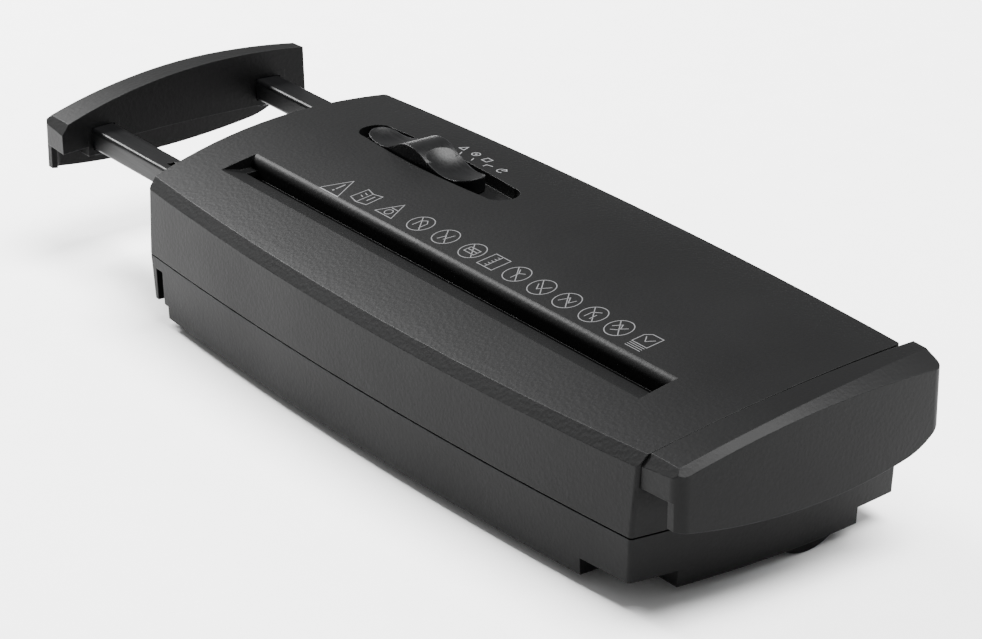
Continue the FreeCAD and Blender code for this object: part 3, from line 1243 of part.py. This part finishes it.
# ---------------------------------------------------------------- build
def pieces():
    """Every separate piece by name."""
    return {
        "top_cover": top_cover(),
        "base_housing": base_housing(),
        "fixed_end_cap": fixed_end_cap(),
        "exit_guard": exit_guard(),
        "case_screws": Part.makeCompound([case_screw(x, y) for x, y in CASE_SCREWS]),
        "cord_gland": cord_gland(),
        "extension_end_cap": extension_end_cap(),
        "arm_front": arm(ARM_FRONT_Y, ARM_FRONT_TOP, True),
        "arm_rear": arm(ARM_REAR_Y, ARM_REAR_TOP, False),
        "arm_end_stops": arm_end_stops(),
        "arm_screws": arm_screws(),
        "arm_guide_front": arm_guide(ARM_FRONT_Y, ARM_FRONT_TOP, True),
        "arm_guide_rear": arm_guide(ARM_REAR_Y, ARM_REAR_TOP, False),
        "mode_knob": mode_knob(),
        "slide_switch": slide_switch(),
        "feed_guide_front": feed_guide(-1),
        "feed_guide_rear": feed_guide(1),
        "sensor_lever": sensor_lever(),
        "sensor_pin": sensor_pin(),
        "sensor_switch": sensor_switch(),
        "far_side_plate": side_plate(FAR_PLATE_X, REAR_AXIS[0] + 16),
        "near_side_plate": near_side_plate(),
        "tie_rods": tie_rods(),
        "shaft_bushes": shaft_bushes(),
        "comb_front": comb(FRONT_AXIS[0], -1, REAR_X0, CUT_COUNT - 1),
        "comb_rear": comb(REAR_AXIS[0], 1, CUT_X0 + DISC_PITCH, CUT_COUNT - 2),
        "cutter_shaft_front": cutter_shaft(FRONT_AXIS[0], GEAR_X[0] + GEAR_W + 0.4),
        "cutter_discs_front": cutter_discs(FRONT_AXIS[0], CUT_X0, CUT_COUNT, 0.0),
        "cutter_spacers_front": cutter_spacers(FRONT_AXIS[0], CUT_X0, CUT_COUNT),
        "cutter_shaft_rear": rear_cutter_shaft(),
        "cutter_discs_rear": cutter_discs(REAR_AXIS[0], REAR_X0, CUT_COUNT - 1, REAR_DISC_PHASE),
        "cutter_spacers_rear": cutter_spacers(REAR_AXIS[0], REAR_X0, CUT_COUNT - 1),
        "sync_gear_front": sync_gear(FRONT_AXIS, REAR_AXIS, True),
        "sync_gear_rear": sync_gear(REAR_AXIS, FRONT_AXIS, False),
        "drive_gear": drive_gear(),
        "gear_a": gear_a(),
        "gear_b": gear_b(),
        "gear_axles": gear_axles(),
        "gear_plate": gear_plate(),
        "gear_standoffs": gear_standoffs(),
        "motor_case": motor_case(),
        "motor_shaft": motor_shaft(),
        "motor_pinion": motor_pinion(),
        "control_board": control_board(),
        "board_relay": board_relay(),
        "board_capacitor": board_capacitor(),
        "board_terminals": board_terminals(),
    }


os.makedirs("parts", exist_ok=True)
for node, shape in pieces().items():
    shape.translate(-ORIGIN)
    shape.exportStep("parts/" + node + ".step")
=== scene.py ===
"""Looks of the paper shredder head: grained black mouldings, printed marks, studio light and camera."""

import json
import math

import bmesh
import bpy
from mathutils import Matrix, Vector
from mathutils.bvhtree import BVHTree


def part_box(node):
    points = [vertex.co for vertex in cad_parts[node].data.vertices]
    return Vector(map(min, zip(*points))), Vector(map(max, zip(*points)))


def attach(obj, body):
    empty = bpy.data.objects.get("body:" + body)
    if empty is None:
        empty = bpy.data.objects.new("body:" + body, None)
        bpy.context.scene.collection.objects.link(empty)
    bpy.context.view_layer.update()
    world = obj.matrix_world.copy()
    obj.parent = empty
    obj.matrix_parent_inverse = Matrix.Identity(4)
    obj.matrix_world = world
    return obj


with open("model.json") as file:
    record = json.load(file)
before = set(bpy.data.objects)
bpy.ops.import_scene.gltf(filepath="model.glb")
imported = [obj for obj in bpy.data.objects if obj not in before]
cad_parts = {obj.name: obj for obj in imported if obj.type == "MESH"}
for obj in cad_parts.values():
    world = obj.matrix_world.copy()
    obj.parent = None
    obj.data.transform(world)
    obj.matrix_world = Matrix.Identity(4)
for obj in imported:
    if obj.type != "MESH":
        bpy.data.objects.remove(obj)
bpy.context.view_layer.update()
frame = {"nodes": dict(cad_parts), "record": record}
nodes = frame["nodes"]
MM = 0.001
NOISE_LOW = 0.3  # most of what a noise gives lies between these two
NOISE_HIGH = 0.7
BEVEL_SAMPLES = 6
FLAT_FACE = 0.995  # a place is flat when its true and rounded normals agree better than this
FULL_EDGE = 0.90  # and wholly on an edge when they agree less than this


# ---------------------------------------------------------------- node helpers
class Nodes:
    """Short way to add and link shader nodes in one material."""

    def __init__(self, name):
        self.material = bpy.data.materials.new(name)
        self.material.use_nodes = True
        self.tree = self.material.node_tree
        self.tree.nodes.clear()
        output = self.add("ShaderNodeOutputMaterial")
        self.shader = self.add("ShaderNodeBsdfPrincipled")
        self.link(self.shader.outputs["BSDF"], output.inputs["Surface"])
        self.coords = self.add("ShaderNodeTexCoord").outputs["Object"]

    def add(self, kind, **settings):
        """New node with its settings."""
        node = self.tree.nodes.new(kind)
        for key, value in settings.items():
            setattr(node, key, value)
        return node

    def link(self, a, b):
        """Wire from an output to an input."""
        self.tree.links.new(a, b)

    def noise(self, scale, detail=2.0, roughness=0.5, stretch=None):
        """Noise in the object's own coordinates; a large stretch packs it closer along that axis."""
        place = self.coords
        if stretch:
            mapping = self.add("ShaderNodeMapping")
            mapping.inputs["Scale"].default_value = stretch
            self.link(self.coords, mapping.inputs["Vector"])
            place = mapping.outputs["Vector"]
        node = self.add("ShaderNodeTexNoise")
        node.inputs["Scale"].default_value = scale
        node.inputs["Detail"].default_value = detail
        node.inputs["Roughness"].default_value = roughness
        self.link(place, node.inputs["Vector"])
        return node.outputs["Fac"]

    def cells(self, scale):
        """Distance to the nearest of many scattered points."""
        node = self.add("ShaderNodeTexVoronoi")
        node.inputs["Scale"].default_value = scale
        self.link(self.coords, node.inputs["Vector"])
        return node.outputs["Distance"]

    def spread(self, value, to_low, to_high, low=NOISE_LOW, high=NOISE_HIGH):
        """Value between low and high, spread over to_low to to_high."""
        node = self.add("ShaderNodeMapRange")
        node.inputs["From Min"].default_value = low
        node.inputs["From Max"].default_value = high
        node.inputs["To Min"].default_value = to_low
        node.inputs["To Max"].default_value = to_high
        self.link(value, node.inputs["Value"])
        return node.outputs["Result"]

    def maths(self, operation, a, b):
        """Sum, difference or product of two values, each an output or a number."""
        node = self.add("ShaderNodeMath", operation=operation)
        for socket, value in zip(node.inputs, (a, b)):
            if isinstance(value, (int, float)):
                socket.default_value = value
            else:
                self.link(value, socket)
        return node.outputs[0]

    def mix(self, amount, a, b):
        """Colour between a and b, each an output or a tuple."""
        node = self.add("ShaderNodeMix", data_type="RGBA")
        self.link(amount, node.inputs["Factor"])
        for name, value in (("A", a), ("B", b)):
            socket = [s for s in node.inputs if s.name == name and s.type == "RGBA"][0]
            if isinstance(value, tuple):
                socket.default_value = (*value, 1.0)
            else:
                self.link(value, socket)
        return [s for s in node.outputs if s.type == "RGBA"][0]

    def rounded_normal(self, radius):
        """Normal of the surface as if its edges had this radius."""
        bevel = self.add("ShaderNodeBevel", samples=BEVEL_SAMPLES)
        bevel.inputs["Radius"].default_value = radius
        return bevel.outputs["Normal"]

    def edges(self, radius):
        """1 on rounded edges and 0 on flat faces."""
        geometry = self.add("ShaderNodeNewGeometry")
        dot = self.add("ShaderNodeVectorMath", operation="DOT_PRODUCT")
        self.link(self.rounded_normal(radius), dot.inputs[0])
        self.link(geometry.outputs["Normal"], dot.inputs[1])
        return self.spread(dot.outputs["Value"], 0.0, 1.0, FLAT_FACE, FULL_EDGE)

    def edge_wear_and_highlight(self, radius, scale, most):
        """Broken patches along the edges, up to the given strength: partly wear and partly a painted edge
        highlight.
        """
        patches = self.spread(self.noise(scale, detail=4.0), 0.1, most, low=0.4)
        return self.maths("MULTIPLY", self.edges(radius), patches)

    def bump(self, height, strength, distance, edge_radius):
        """Fine relief on a surface whose edges look rounded."""
        node = self.add("ShaderNodeBump")
        node.inputs["Strength"].default_value = strength
        node.inputs["Distance"].default_value = distance
        self.link(height, node.inputs["Height"])
        self.link(self.rounded_normal(edge_radius), node.inputs["Normal"])
        self.link(node.outputs["Normal"], self.shader.inputs["Normal"])

    def set(self, name, value):
        """Shader input from a colour, a number or an output."""
        if isinstance(value, tuple):
            self.shader.inputs[name].default_value = (*value, 1.0)
        elif isinstance(value, (int, float)):
            self.shader.inputs[name].default_value = value
        else:
            self.link(value, self.shader.inputs[name])


# ---------------------------------------------------------------- materials
BLACK = (0.0012, 0.00123, 0.0013)
BASE_BLACK = (0.0010, 0.00103, 0.0011)
SATIN_BLACK = (0.0016, 0.00165, 0.0018)
# paler edge colour: partly wear, partly a painted highlight on the edges
WORN_EDGE_AND_HIGHLIGHT = (0.007, 0.0071, 0.0074)
GRAIN_SCALE = 1050.0
PIT_SHARE = 0.62  # scale of the pits against the scale of the grain
MOULDED_EDGE = 0.4 * MM
SATIN_EDGE = 0.5 * MM
CLOUD_FACTOR = 1.25
CLOUD_LIFT = 0.0002


def scaled(color, factor, lift=0.0):
    """Colour multiplied by a factor and raised a little, never above white."""
    return tuple(min(1.0, c * factor + lift) for c in color)


def clouded(look, cloud, color):
    """Colour that turns slightly paler where the cloud noise is high."""
    return look.mix(look.spread(cloud, 0.0, 1.0), color, scaled(color, CLOUD_FACTOR, CLOUD_LIFT))


def moulded_plastic(name, color, worn_and_highlight, rough, depth):
    """Spark-eroded moulding: fine grain, slight cloudiness and paler edges that are partly wear and
    partly a painted highlight.
    """
    look = Nodes(name)
    cloud = look.noise(scale=18.0, detail=3.0)
    fine = look.noise(GRAIN_SCALE, detail=3.0, roughness=0.6)
    pits = look.cells(GRAIN_SCALE * PIT_SHARE)
    specks = look.spread(fine, 0.0, 0.55, low=0.35, high=0.75)
    speckled = look.mix(specks, clouded(look, cloud, color), scaled(color, 2.0, 0.0003))
    # paler edges: partly wear, partly a painted highlight
    wear_and_highlight = look.edge_wear_and_highlight(MOULDED_EDGE * 1.6, scale=160.0, most=0.8)
    look.set("Base Color", look.mix(wear_and_highlight, speckled, worn_and_highlight))
    cloudy_rough = look.spread(cloud, rough - 0.03, rough + 0.03)
    look.set("Roughness", look.maths("SUBTRACT", cloudy_rough, look.maths("MULTIPLY", wear_and_highlight, 0.1)))
    look.set("IOR", 1.45)
    look.set("Specular IOR Level", 0.11)
    height = look.maths("ADD", fine, look.maths("MULTIPLY", pits, 0.8))
    look.bump(height, strength=depth, distance=0.06 * MM, edge_radius=MOULDED_EDGE)
    return look.material


def satin_plastic(name, color, worn_and_highlight, rough):
    """Smooth moulding with faint flow lines, hair scratches and paler edges that are partly wear and
    partly a painted highlight.
    """
    look = Nodes(name)
    cloud = look.noise(scale=40.0, detail=3.0)
    scratch = look.noise(scale=260.0, detail=3.0, stretch=(0.2, 6.0, 6.0))
    # paler edges: partly wear, partly a painted highlight
    wear_and_highlight = look.edge_wear_and_highlight(SATIN_EDGE * 1.4, scale=220.0, most=0.7)
    look.set("Base Color", look.mix(wear_and_highlight, clouded(look, cloud, color), worn_and_highlight))
    look.set("Roughness", look.spread(scratch, rough - 0.05, rough + 0.06))
    look.set("Specular IOR Level", 0.12)
    height = look.maths("ADD", scratch, look.maths("MULTIPLY", look.noise(scale=900.0), 0.5))
    look.bump(height, strength=0.12, distance=0.03 * MM, edge_radius=SATIN_EDGE)
    return look.material


def metal(name, color, rough, stretch=(1.0, 14.0, 14.0), stain=0.5):
    """Steel or brass with drawn lines, faint stains and a painted highlight along the edges."""
    look = Nodes(name)
    lines = look.noise(scale=420.0, detail=3.0, stretch=stretch)
    cloud = look.noise(scale=90.0, detail=4.0)
    stained = look.mix(look.spread(cloud, 0.0, 1.0, low=0.35), color, scaled(color, 1.0 - 0.4 * stain))
    # painted highlight: edges coloured a quarter brighter than the face
    look.set("Base Color", look.mix(look.edges(0.3 * MM), stained, scaled(color, 1.25)))
    look.set("Metallic", 1.0)
    look.set("Roughness", look.spread(lines, rough - 0.08, rough + 0.1))
    look.bump(lines, strength=0.2, distance=0.02 * MM, edge_radius=0.2 * MM)
    return look.material


def soft_rubber(name, color):
    """Matte rubber with a dusty bloom."""
    look = Nodes(name)
    dust = look.noise(scale=240.0, detail=5.0, roughness=0.65)
    bloom = look.spread(dust, 0.0, 0.6, low=0.45, high=0.75)
    look.set("Base Color", look.mix(bloom, color, scaled(color, 2.2)))
    look.set("Roughness", look.spread(dust, 0.75, 0.9))
    look.bump(dust, strength=0.3, distance=0.05 * MM, edge_radius=0.4 * MM)
    return look.material


def printed_ink(name, color):
    """Thin pad-printed ink, uneven on the grain below."""
    look = Nodes(name)
    grain = look.noise(scale=1500.0, detail=3.0, roughness=0.6)
    thin = look.spread(grain, 0.0, 0.7, low=0.35, high=0.65)
    look.set("Base Color", look.mix(thin, color, scaled(color, 0.45)))
    look.set("Roughness", look.spread(grain, 0.5, 0.65))
    look.bump(grain, strength=0.3, distance=0.02 * MM, edge_radius=0.1 * MM)
    return look.material


# slot: colour, colour of the edges (wear and painted highlight), roughness, depth of the grain
MOULDED = {
    "cover_plastic": (BLACK, WORN_EDGE_AND_HIGHLIGHT, 0.50, 0.8),
    "base_plastic": (BASE_BLACK, WORN_EDGE_AND_HIGHLIGHT, 0.52, 0.7),
    "cap_plastic": (BLACK, WORN_EDGE_AND_HIGHLIGHT, 0.48, 0.7),
}
# slot: colour, colour of the edges (wear and painted highlight), roughness
SATIN = {
    "arm_plastic": (SATIN_BLACK, WORN_EDGE_AND_HIGHLIGHT, 0.38),
    "knob_plastic": (SATIN_BLACK, (0.03, 0.03, 0.032), 0.33),
    "inner_plastic": ((0.60, 0.58, 0.52), (0.7, 0.68, 0.62), 0.45),
    "guide_plastic": ((0.008, 0.008, 0.0084), (0.02, 0.02, 0.02), 0.5),
    "sensor_plastic": ((0.02, 0.02, 0.021), (0.06, 0.06, 0.06), 0.4),
    "switch_plastic": ((0.03, 0.03, 0.031), (0.07, 0.07, 0.07), 0.42),
    "gear_nylon": ((0.66, 0.63, 0.52), (0.75, 0.72, 0.62), 0.4),
    "board_laminate": ((0.05, 0.13, 0.04), (0.3, 0.28, 0.16), 0.35),
    "relay_plastic": ((0.02, 0.05, 0.22), (0.1, 0.14, 0.35), 0.35),
    "capacitor_sleeve": ((0.015, 0.015, 0.03), (0.06, 0.06, 0.08), 0.25),
    "terminal_plastic": ((0.02, 0.16, 0.06), (0.1, 0.3, 0.15), 0.38),
}
# slot: colour, roughness, stretch of the drawn lines, strength of the stains
METAL = {
    "screw_black": ((0.03, 0.03, 0.031), 0.4, (8.0, 8.0, 1.0)),
    "screw_steel": ((0.48, 0.48, 0.5), 0.34, (8.0, 8.0, 1.0)),
    "plate_steel": ((0.50, 0.51, 0.53), 0.4, (6.0, 6.0, 2.0)),
    "shaft_steel": ((0.55, 0.55, 0.56), 0.25, (10.0, 1.0, 1.0)),
    "cutter_steel": ((0.30, 0.30, 0.31), 0.32, (3.0, 9.0, 9.0), 0.8),
    "motor_steel": ((0.46, 0.47, 0.49), 0.36),
    "gear_steel": ((0.34, 0.34, 0.35), 0.45, (2.0, 4.0, 4.0), 0.7),
    "bush_brass": ((0.62, 0.42, 0.18), 0.4),
}
RUBBER = {"gland_rubber": ((0.012, 0.012, 0.012),)}
MAKERS = ((moulded_plastic, MOULDED), (satin_plastic, SATIN), (metal, METAL), (soft_rubber, RUBBER))
FINISHES = {slot: make(slot, *settings) for make, slots in MAKERS for slot, settings in slots.items()}
for part in frame["record"]["subparts"]:
    mesh = nodes[part["node"]].data
    mesh.materials.clear()
    mesh.materials.append(FINISHES[part["material_slot"]])


# ---------------------------------------------------------------- ink on the cover
def skin_of(node):
    """Search tree over a node's faces."""
    mesh = nodes[node].data
    return BVHTree.FromPolygons([v.co for v in mesh.vertices], [p.vertices for p in mesh.polygons])


COVER = skin_of("top_cover")
DOWN = Vector((0, 0, -1))
ABOVE_ALL = 0.2  # height in metres, well over the cover
INK_LIFT = 0.02 * MM
INK_STEP = 0.8 * MM  # a line is cut into stretches of this length or a little more
SHARPEST_MITRE = 0.5  # keeps the mitre of a sharp corner short
TURNED_BACK = 1e-6  # a shorter sum of the two directions means that the path turns back
RING_STEPS = 40
ARC_STEPS = 14
DOT_STEPS = 16


def on_cover(x, y):
    """Point just above the cover's skin at (x, y)."""
    point, normal, _, _ = COVER.ray_cast(Vector((x, y, ABOVE_ALL)), DOWN)
    return point + normal * INK_LIFT


def fine_path(path, closed):
    """Plane path cut into short steps."""
    points = [Vector(p) for p in path]
    if closed:
        points.append(points[0])
    fine = [points[0]]
    for a, b in zip(points, points[1:]):
        steps = max(1, int((b - a).length / INK_STEP))
        fine += [a.lerp(b, (k + 1) / steps) for k in range(steps)]
    return fine


def strip_side(before, point, after, width):
    """Way from a point of the path to the side of its strip, mitred at a corner."""
    into = point - before
    out = after - point
    into = into.normalized() if into.length else out.normalized()
    out = out.normalized() if out.length else into
    both = into + out
    along = both.normalized() if both.length > TURNED_BACK else out
    reach = width / 2 / max(SHARPEST_MITRE, along.dot(out))
    return Vector((-along.y, along.x)) * reach


def ink_strip(bm, path, width, closed=False):
    """Flat strip of ink along a plane path of (x, y) points, laid on the cover."""
    points = fine_path(path, closed)
    before_first, after_last = (points[-2], points[1]) if closed else (points[0], points[-1])
    rows = []
    for before, point, after in zip([before_first, *points], points, [*points[1:], after_last]):
        side = strip_side(before, point, after, width)
        rows.append([bm.verts.new(on_cover(*(point + side))), bm.verts.new(on_cover(*(point - side)))])
    for a, b in zip(rows, rows[1:]):
        bm.faces.new((a[0], a[1], b[1], b[0]))


def round_point(centre, radius, angle):
    """Point of a circle at an angle in radians."""
    return (centre[0] + radius * math.cos(angle), centre[1] + radius * math.sin(angle))


def circle(centre, radius, steps=RING_STEPS):
    """Closed path round a centre."""
    return [round_point(centre, radius, i * math.tau / steps) for i in range(steps)]


def arc(centre, radius, start, end):
    """Open path along part of a circle, angles in degrees."""
    angles = [math.radians(start + (end - start) * i / ARC_STEPS) for i in range(ARC_STEPS + 1)]
    return [round_point(centre, radius, angle) for angle in angles]


def ink_dot(bm, centre, radius):
    """Filled round spot of ink."""
    bm.faces.new([bm.verts.new(on_cover(*place)) for place in circle(centre, radius, DOT_STEPS)])


def finish_ink(bm, name, material):
    """Make the ink strips into one piece that rides on the housing."""
    mesh = bpy.data.meshes.new(name)
    bm.normal_update()
    for face in bm.faces:
        if face.normal.z < 0:
            face.normal_flip()
    bm.to_mesh(mesh)
    bm.free()
    piece = bpy.data.objects.new(name, mesh)
    bpy.context.scene.collection.objects.link(piece)
    mesh.materials.append(material)
    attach(piece, "housing")


# ---------------------------------------------------------------- printed marks
LOW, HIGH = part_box("top_cover")
BEHIND_MIDDLE = 2.95 * MM  # from the cover's middle to the point that the marks are measured from
MID = Vector(((LOW.x + HIGH.x) / 2, (LOW.y + HIGH.y) / 2 + BEHIND_MIDDLE))
LINE = 0.34 * MM
THIN_LINE = LINE * 0.8
SCALE_LINE = LINE * 1.1
DOT_RADIUS = 0.45 * MM
SMALL_RING = 1.5 * MM
ADVICE_RING = 4.7 * MM
ADVICE_Y = -12.4
# what each crossed ring of the advice row holds, by its x
CROSSED = {
    -30.9: [[(-1.6, -2.4), (-1.6, 1.2), (0.2, 2.6), (1.9, 1.2), (1.9, -2.4)]],
    -16.9: [[(-2.0, 2.0), (-0.4, 0.2), (-1.4, -2.6)], [(1.8, 2.4), (0.8, -1.8)]],
    -2.2: [[(-2.6, 1.4), (2.6, 1.4), (2.6, -1.6), (-2.6, -1.6), (-2.6, 1.4)], [(-2.6, 0), (2.6, 0)]],
    21.6: [[(-1.6, 2.6), (0.2, 0.6), (0.2, -2.8)], [(0.2, 0.6), (2.2, 1.8)]],
    34.6: [[(-2.6, 0.8), (-0.4, -1.8), (2.8, 2.0)]],
    47.6: [[(-2.4, -1.8), (-0.6, 1.8), (1.6, -0.8), (2.6, 1.8)]],
    60.9: [[(-1.4, -2.6), (-1.4, 0.6), (1.4, 2.4)], [(1.2, -2.6), (1.2, 0.4)]],
    73.7: [[(-2.8, -0.6), (-0.6, 2.0), (0.8, -0.2), (2.6, 1.6)], [(-1.6, -2.4), (0.6, -1.0)]],
}
LEADERS = [
    [(-80.6, 33.4), (-76.5, 32.6)],
    [(-71.0, 32.8), (-69.5, 30.6)],
    [(-63.7, 32.5), (-62.6, 30.7)],
    [(-55.9, 30.7), (-56.2, 32.5), (-53.6, 33.2)],
]


def at(x, y):
    """Place on the cover, in millimetres from the point that the marks are measured from."""
    return (MID.x + x * MM, MID.y + y * MM)


def draw(bm, path, x, y, width=LINE, closed=False):
    """Ink along a path of millimetre points about a place on the cover."""
    ink_strip(bm, [at(x + path_x, y + path_y) for path_x, path_y in path], width, closed)


def ring(bm, x, y, radius, width=LINE, steps=RING_STEPS):
    """Circle of ink round a place on the cover."""
    ink_strip(bm, circle(at(x, y), radius, steps), width, closed=True)


def warning_sign(bm, x, y):
    """Triangle round an upright stroke over a dot."""
    draw(bm, [(-5.4, -4.6), (5.4, -4.6), (0, 5.6)], x, y, closed=True)
    draw(bm, [(0, -1.6), (0, 2.2)], x, y, LINE * 1.6)
    ink_dot(bm, at(x, y - 2.7), DOT_RADIUS)


def open_book(bm, x, y):
    """Open book with short strokes on its pages."""
    draw(bm, [(-4.6, -3.4), (-4.2, 3.6), (0, 2.6), (4.2, 3.6), (4.6, -3.4), (0, -4.4)], x, y, closed=True)
    draw(bm, [(0, 2.6), (0, -4.4)], x, y)
    draw(bm, [(-2.9, 1.4), (-1.0, 0.9)], x, y)
    draw(bm, [(-2.9, -0.4), (-1.0, -0.9)], x, y)
    draw(bm, [(2.2, 1.9), (2.2, -1.6)], x, y, LINE * 1.4)


def ring_sign(bm, x, y):
    """Triangle round a bar over a small ring."""
    draw(bm, [(-4.6, -3.9), (4.6, -3.9), (0, 4.8)], x, y, closed=True)
    ring(bm, x, y - 1.6, SMALL_RING, steps=20)
    draw(bm, [(-1.6, 0.8), (1.8, 0.8)], x, y)


def crossed_ring(bm, x, y, strokes):
    """Ring with a slash over a few strokes."""
    ring(bm, x, y, ADVICE_RING)
    draw(bm, [(-3.3, 3.3), (3.3, -3.3)], x, y)
    for stroke in strokes:
        draw(bm, stroke, x, y)


def ruler_sign(bm, x, y):
    """Square with ticks along the line down its middle."""
    draw(bm, [(-3.9, -3.9), (3.9, -3.9), (3.9, 3.9), (-3.9, 3.9)], x, y, closed=True)
    draw(bm, [(0, -3.9), (0, 3.9)], x, y)
    for tick in (-2.6, -1.3, 0, 1.3, 2.6):
        draw(bm, [(0, tick), (-1.4, tick)], x, y, THIN_LINE)


def sheet_stack(bm, x, y):
    """Sheet with a cut corner and a tick, on the edges of three more."""
    draw(bm, [(-3.6, -2.4), (3.6, -2.4), (3.6, 4.2), (-1.6, 4.2), (-3.6, 2.4)], x, y, closed=True)
    for k in range(3):
        low = -3.3 - 0.9 * k
        draw(bm, [(-3.6, low), (3.6, low)], x, y, THIN_LINE)
    draw(bm, [(-2.2, 2.2), (0.0, -0.2), (2.2, 2.2)], x, y)


def advice_row():
    """Row of plain advice symbols behind the feed slot."""
    bm = bmesh.new()
    warning_sign(bm, -74.3, -15.0)
    open_book(bm, -61.0, -13.2)
    ring_sign(bm, -46.2, -13.0)
    for x, strokes in CROSSED.items():
        crossed_ring(bm, x, ADVICE_Y, strokes)
    ruler_sign(bm, 9.3, ADVICE_Y)
    sheet_stack(bm, 86.2, -12.2)
    finish_ink(bm, "print_advice_row", printed_ink("print_grey", (0.075, 0.075, 0.078)))


def mode_scale():
    """Leader lines and generic marks behind the mode slider."""
    bm = bmesh.new()
    for leader in LEADERS:
        draw(bm, leader, 0, 0, SCALE_LINE)
    draw(bm, [(-1.4, -1.4), (1.4, -1.4), (0, 1.6)], -73.6, 35.9, SCALE_LINE, closed=True)
    ring(bm, -66.6, 35.6, SMALL_RING, SCALE_LINE, steps=24)
    ink_dot(bm, at(-66.6, 35.6), 0.5 * MM)
    draw(bm, [(-1.4, -1.4), (1.4, -1.4), (1.4, 1.4), (-1.4, 1.4)], -59.8, 35.3, SCALE_LINE, closed=True)
    ink_strip(bm, arc(at(-48.6, 33.2), 1.7 * MM, 40, 320), SCALE_LINE)
    draw(bm, [(-0.2, 2.2), (1.3, 1.1), (-0.4, 0.2)], -48.6, 33.2, SCALE_LINE)
    finish_ink(bm, "print_mode_scale", printed_ink("print_pale", (0.14, 0.14, 0.145)))


advice_row()
mode_scale()


# ---------------------------------------------------------------- studio
FLOOR_SIZE = 14.0
FLOOR_Z = -0.2 * MM  # a hair below the faces that stand on it
SKY_STRENGTH = 0.45
SUN_STRENGTH = 12.0
SUN_WIDTH = math.radians(40)
SUN_TILT = (math.radians(-14), math.radians(10), 0)


def floor_material():
    """Pale studio paper with a trace of tooth."""
    look = Nodes("studio_floor")
    tooth = look.noise(scale=60.0, detail=4.0)
    look.set("Base Color", look.mix(look.spread(tooth, 0.0, 1.0), (0.90, 0.90, 0.90), (0.92, 0.92, 0.92)))
    look.set("Roughness", look.spread(tooth, 0.85, 0.95))
    return look.material


def studio():
    """Wide flat floor under an even white sky."""
    bpy.ops.mesh.primitive_plane_add(size=FLOOR_SIZE, location=(0, 0, FLOOR_Z))
    floor = bpy.context.object
    floor.name = "studio_floor"
    floor.data.materials.append(floor_material())
    world = bpy.data.worlds.new("studio")
    bpy.context.scene.world = world
    world.use_nodes = True
    sky = world.node_tree.nodes["Background"]
    sky.inputs["Color"].default_value = (1.0, 1.0, 1.0, 1.0)
    sky.inputs["Strength"].default_value = SKY_STRENGTH


def add_light(name, kind, power):
    """Lamp of a kind, and its settings."""
    data = bpy.data.lights.new(name, kind)
    data.energy = power
    lamp = bpy.data.objects.new(name, data)
    bpy.context.scene.collection.objects.link(lamp)
    return lamp, data


def square_light(name, place, target, size, power):
    """Soft square light aimed at a point."""
    lamp, data = add_light(name, "AREA", power)
    data.shape = "SQUARE"
    data.size = size
    lamp.location = place
    lamp.rotation_euler = (Vector(target) - Vector(place)).to_track_quat("-Z", "Y").to_euler()


def overhead_sun():
    """Even light from above that whitens the floor and leaves a soft shadow."""
    lamp, data = add_light("overhead_sun", "SUN", SUN_STRENGTH)
    data.angle = SUN_WIDTH
    lamp.rotation_euler = SUN_TILT


studio()
overhead_sun()
square_light("key_left", place=(-1.2, -0.14, 0.95), target=(-0.05, 0, 0.03), size=0.35, power=50.0)
square_light("edge_back", place=(0.5, 1.2, 0.9), target=(0, 0, 0.03), size=0.5, power=12.0)


# ---------------------------------------------------------------- camera
AZIMUTH = math.radians(53.879)
ELEVATION = math.radians(23.564)
DISTANCE = 1.1170
TARGET = Vector((27.56, -1.65, 32.08)) * MM
SENSOR_WIDTH = 36.0
FOCAL_LENGTH = 126.54
back = Vector((math.sin(AZIMUTH) * math.cos(ELEVATION), -math.cos(AZIMUTH) * math.cos(ELEVATION),
               math.sin(ELEVATION)))
camera_data = bpy.data.cameras.new("camera")
camera_data.sensor_fit = "HORIZONTAL"
camera_data.sensor_width = SENSOR_WIDTH
camera_data.lens = FOCAL_LENGTH
camera = bpy.data.objects.new("camera", camera_data)
bpy.context.scene.collection.objects.link(camera)
camera.location = TARGET + back * DISTANCE
camera.rotation_euler = (-back).to_track_quat("-Z", "Y").to_euler()
bpy.context.scene.camera = camera
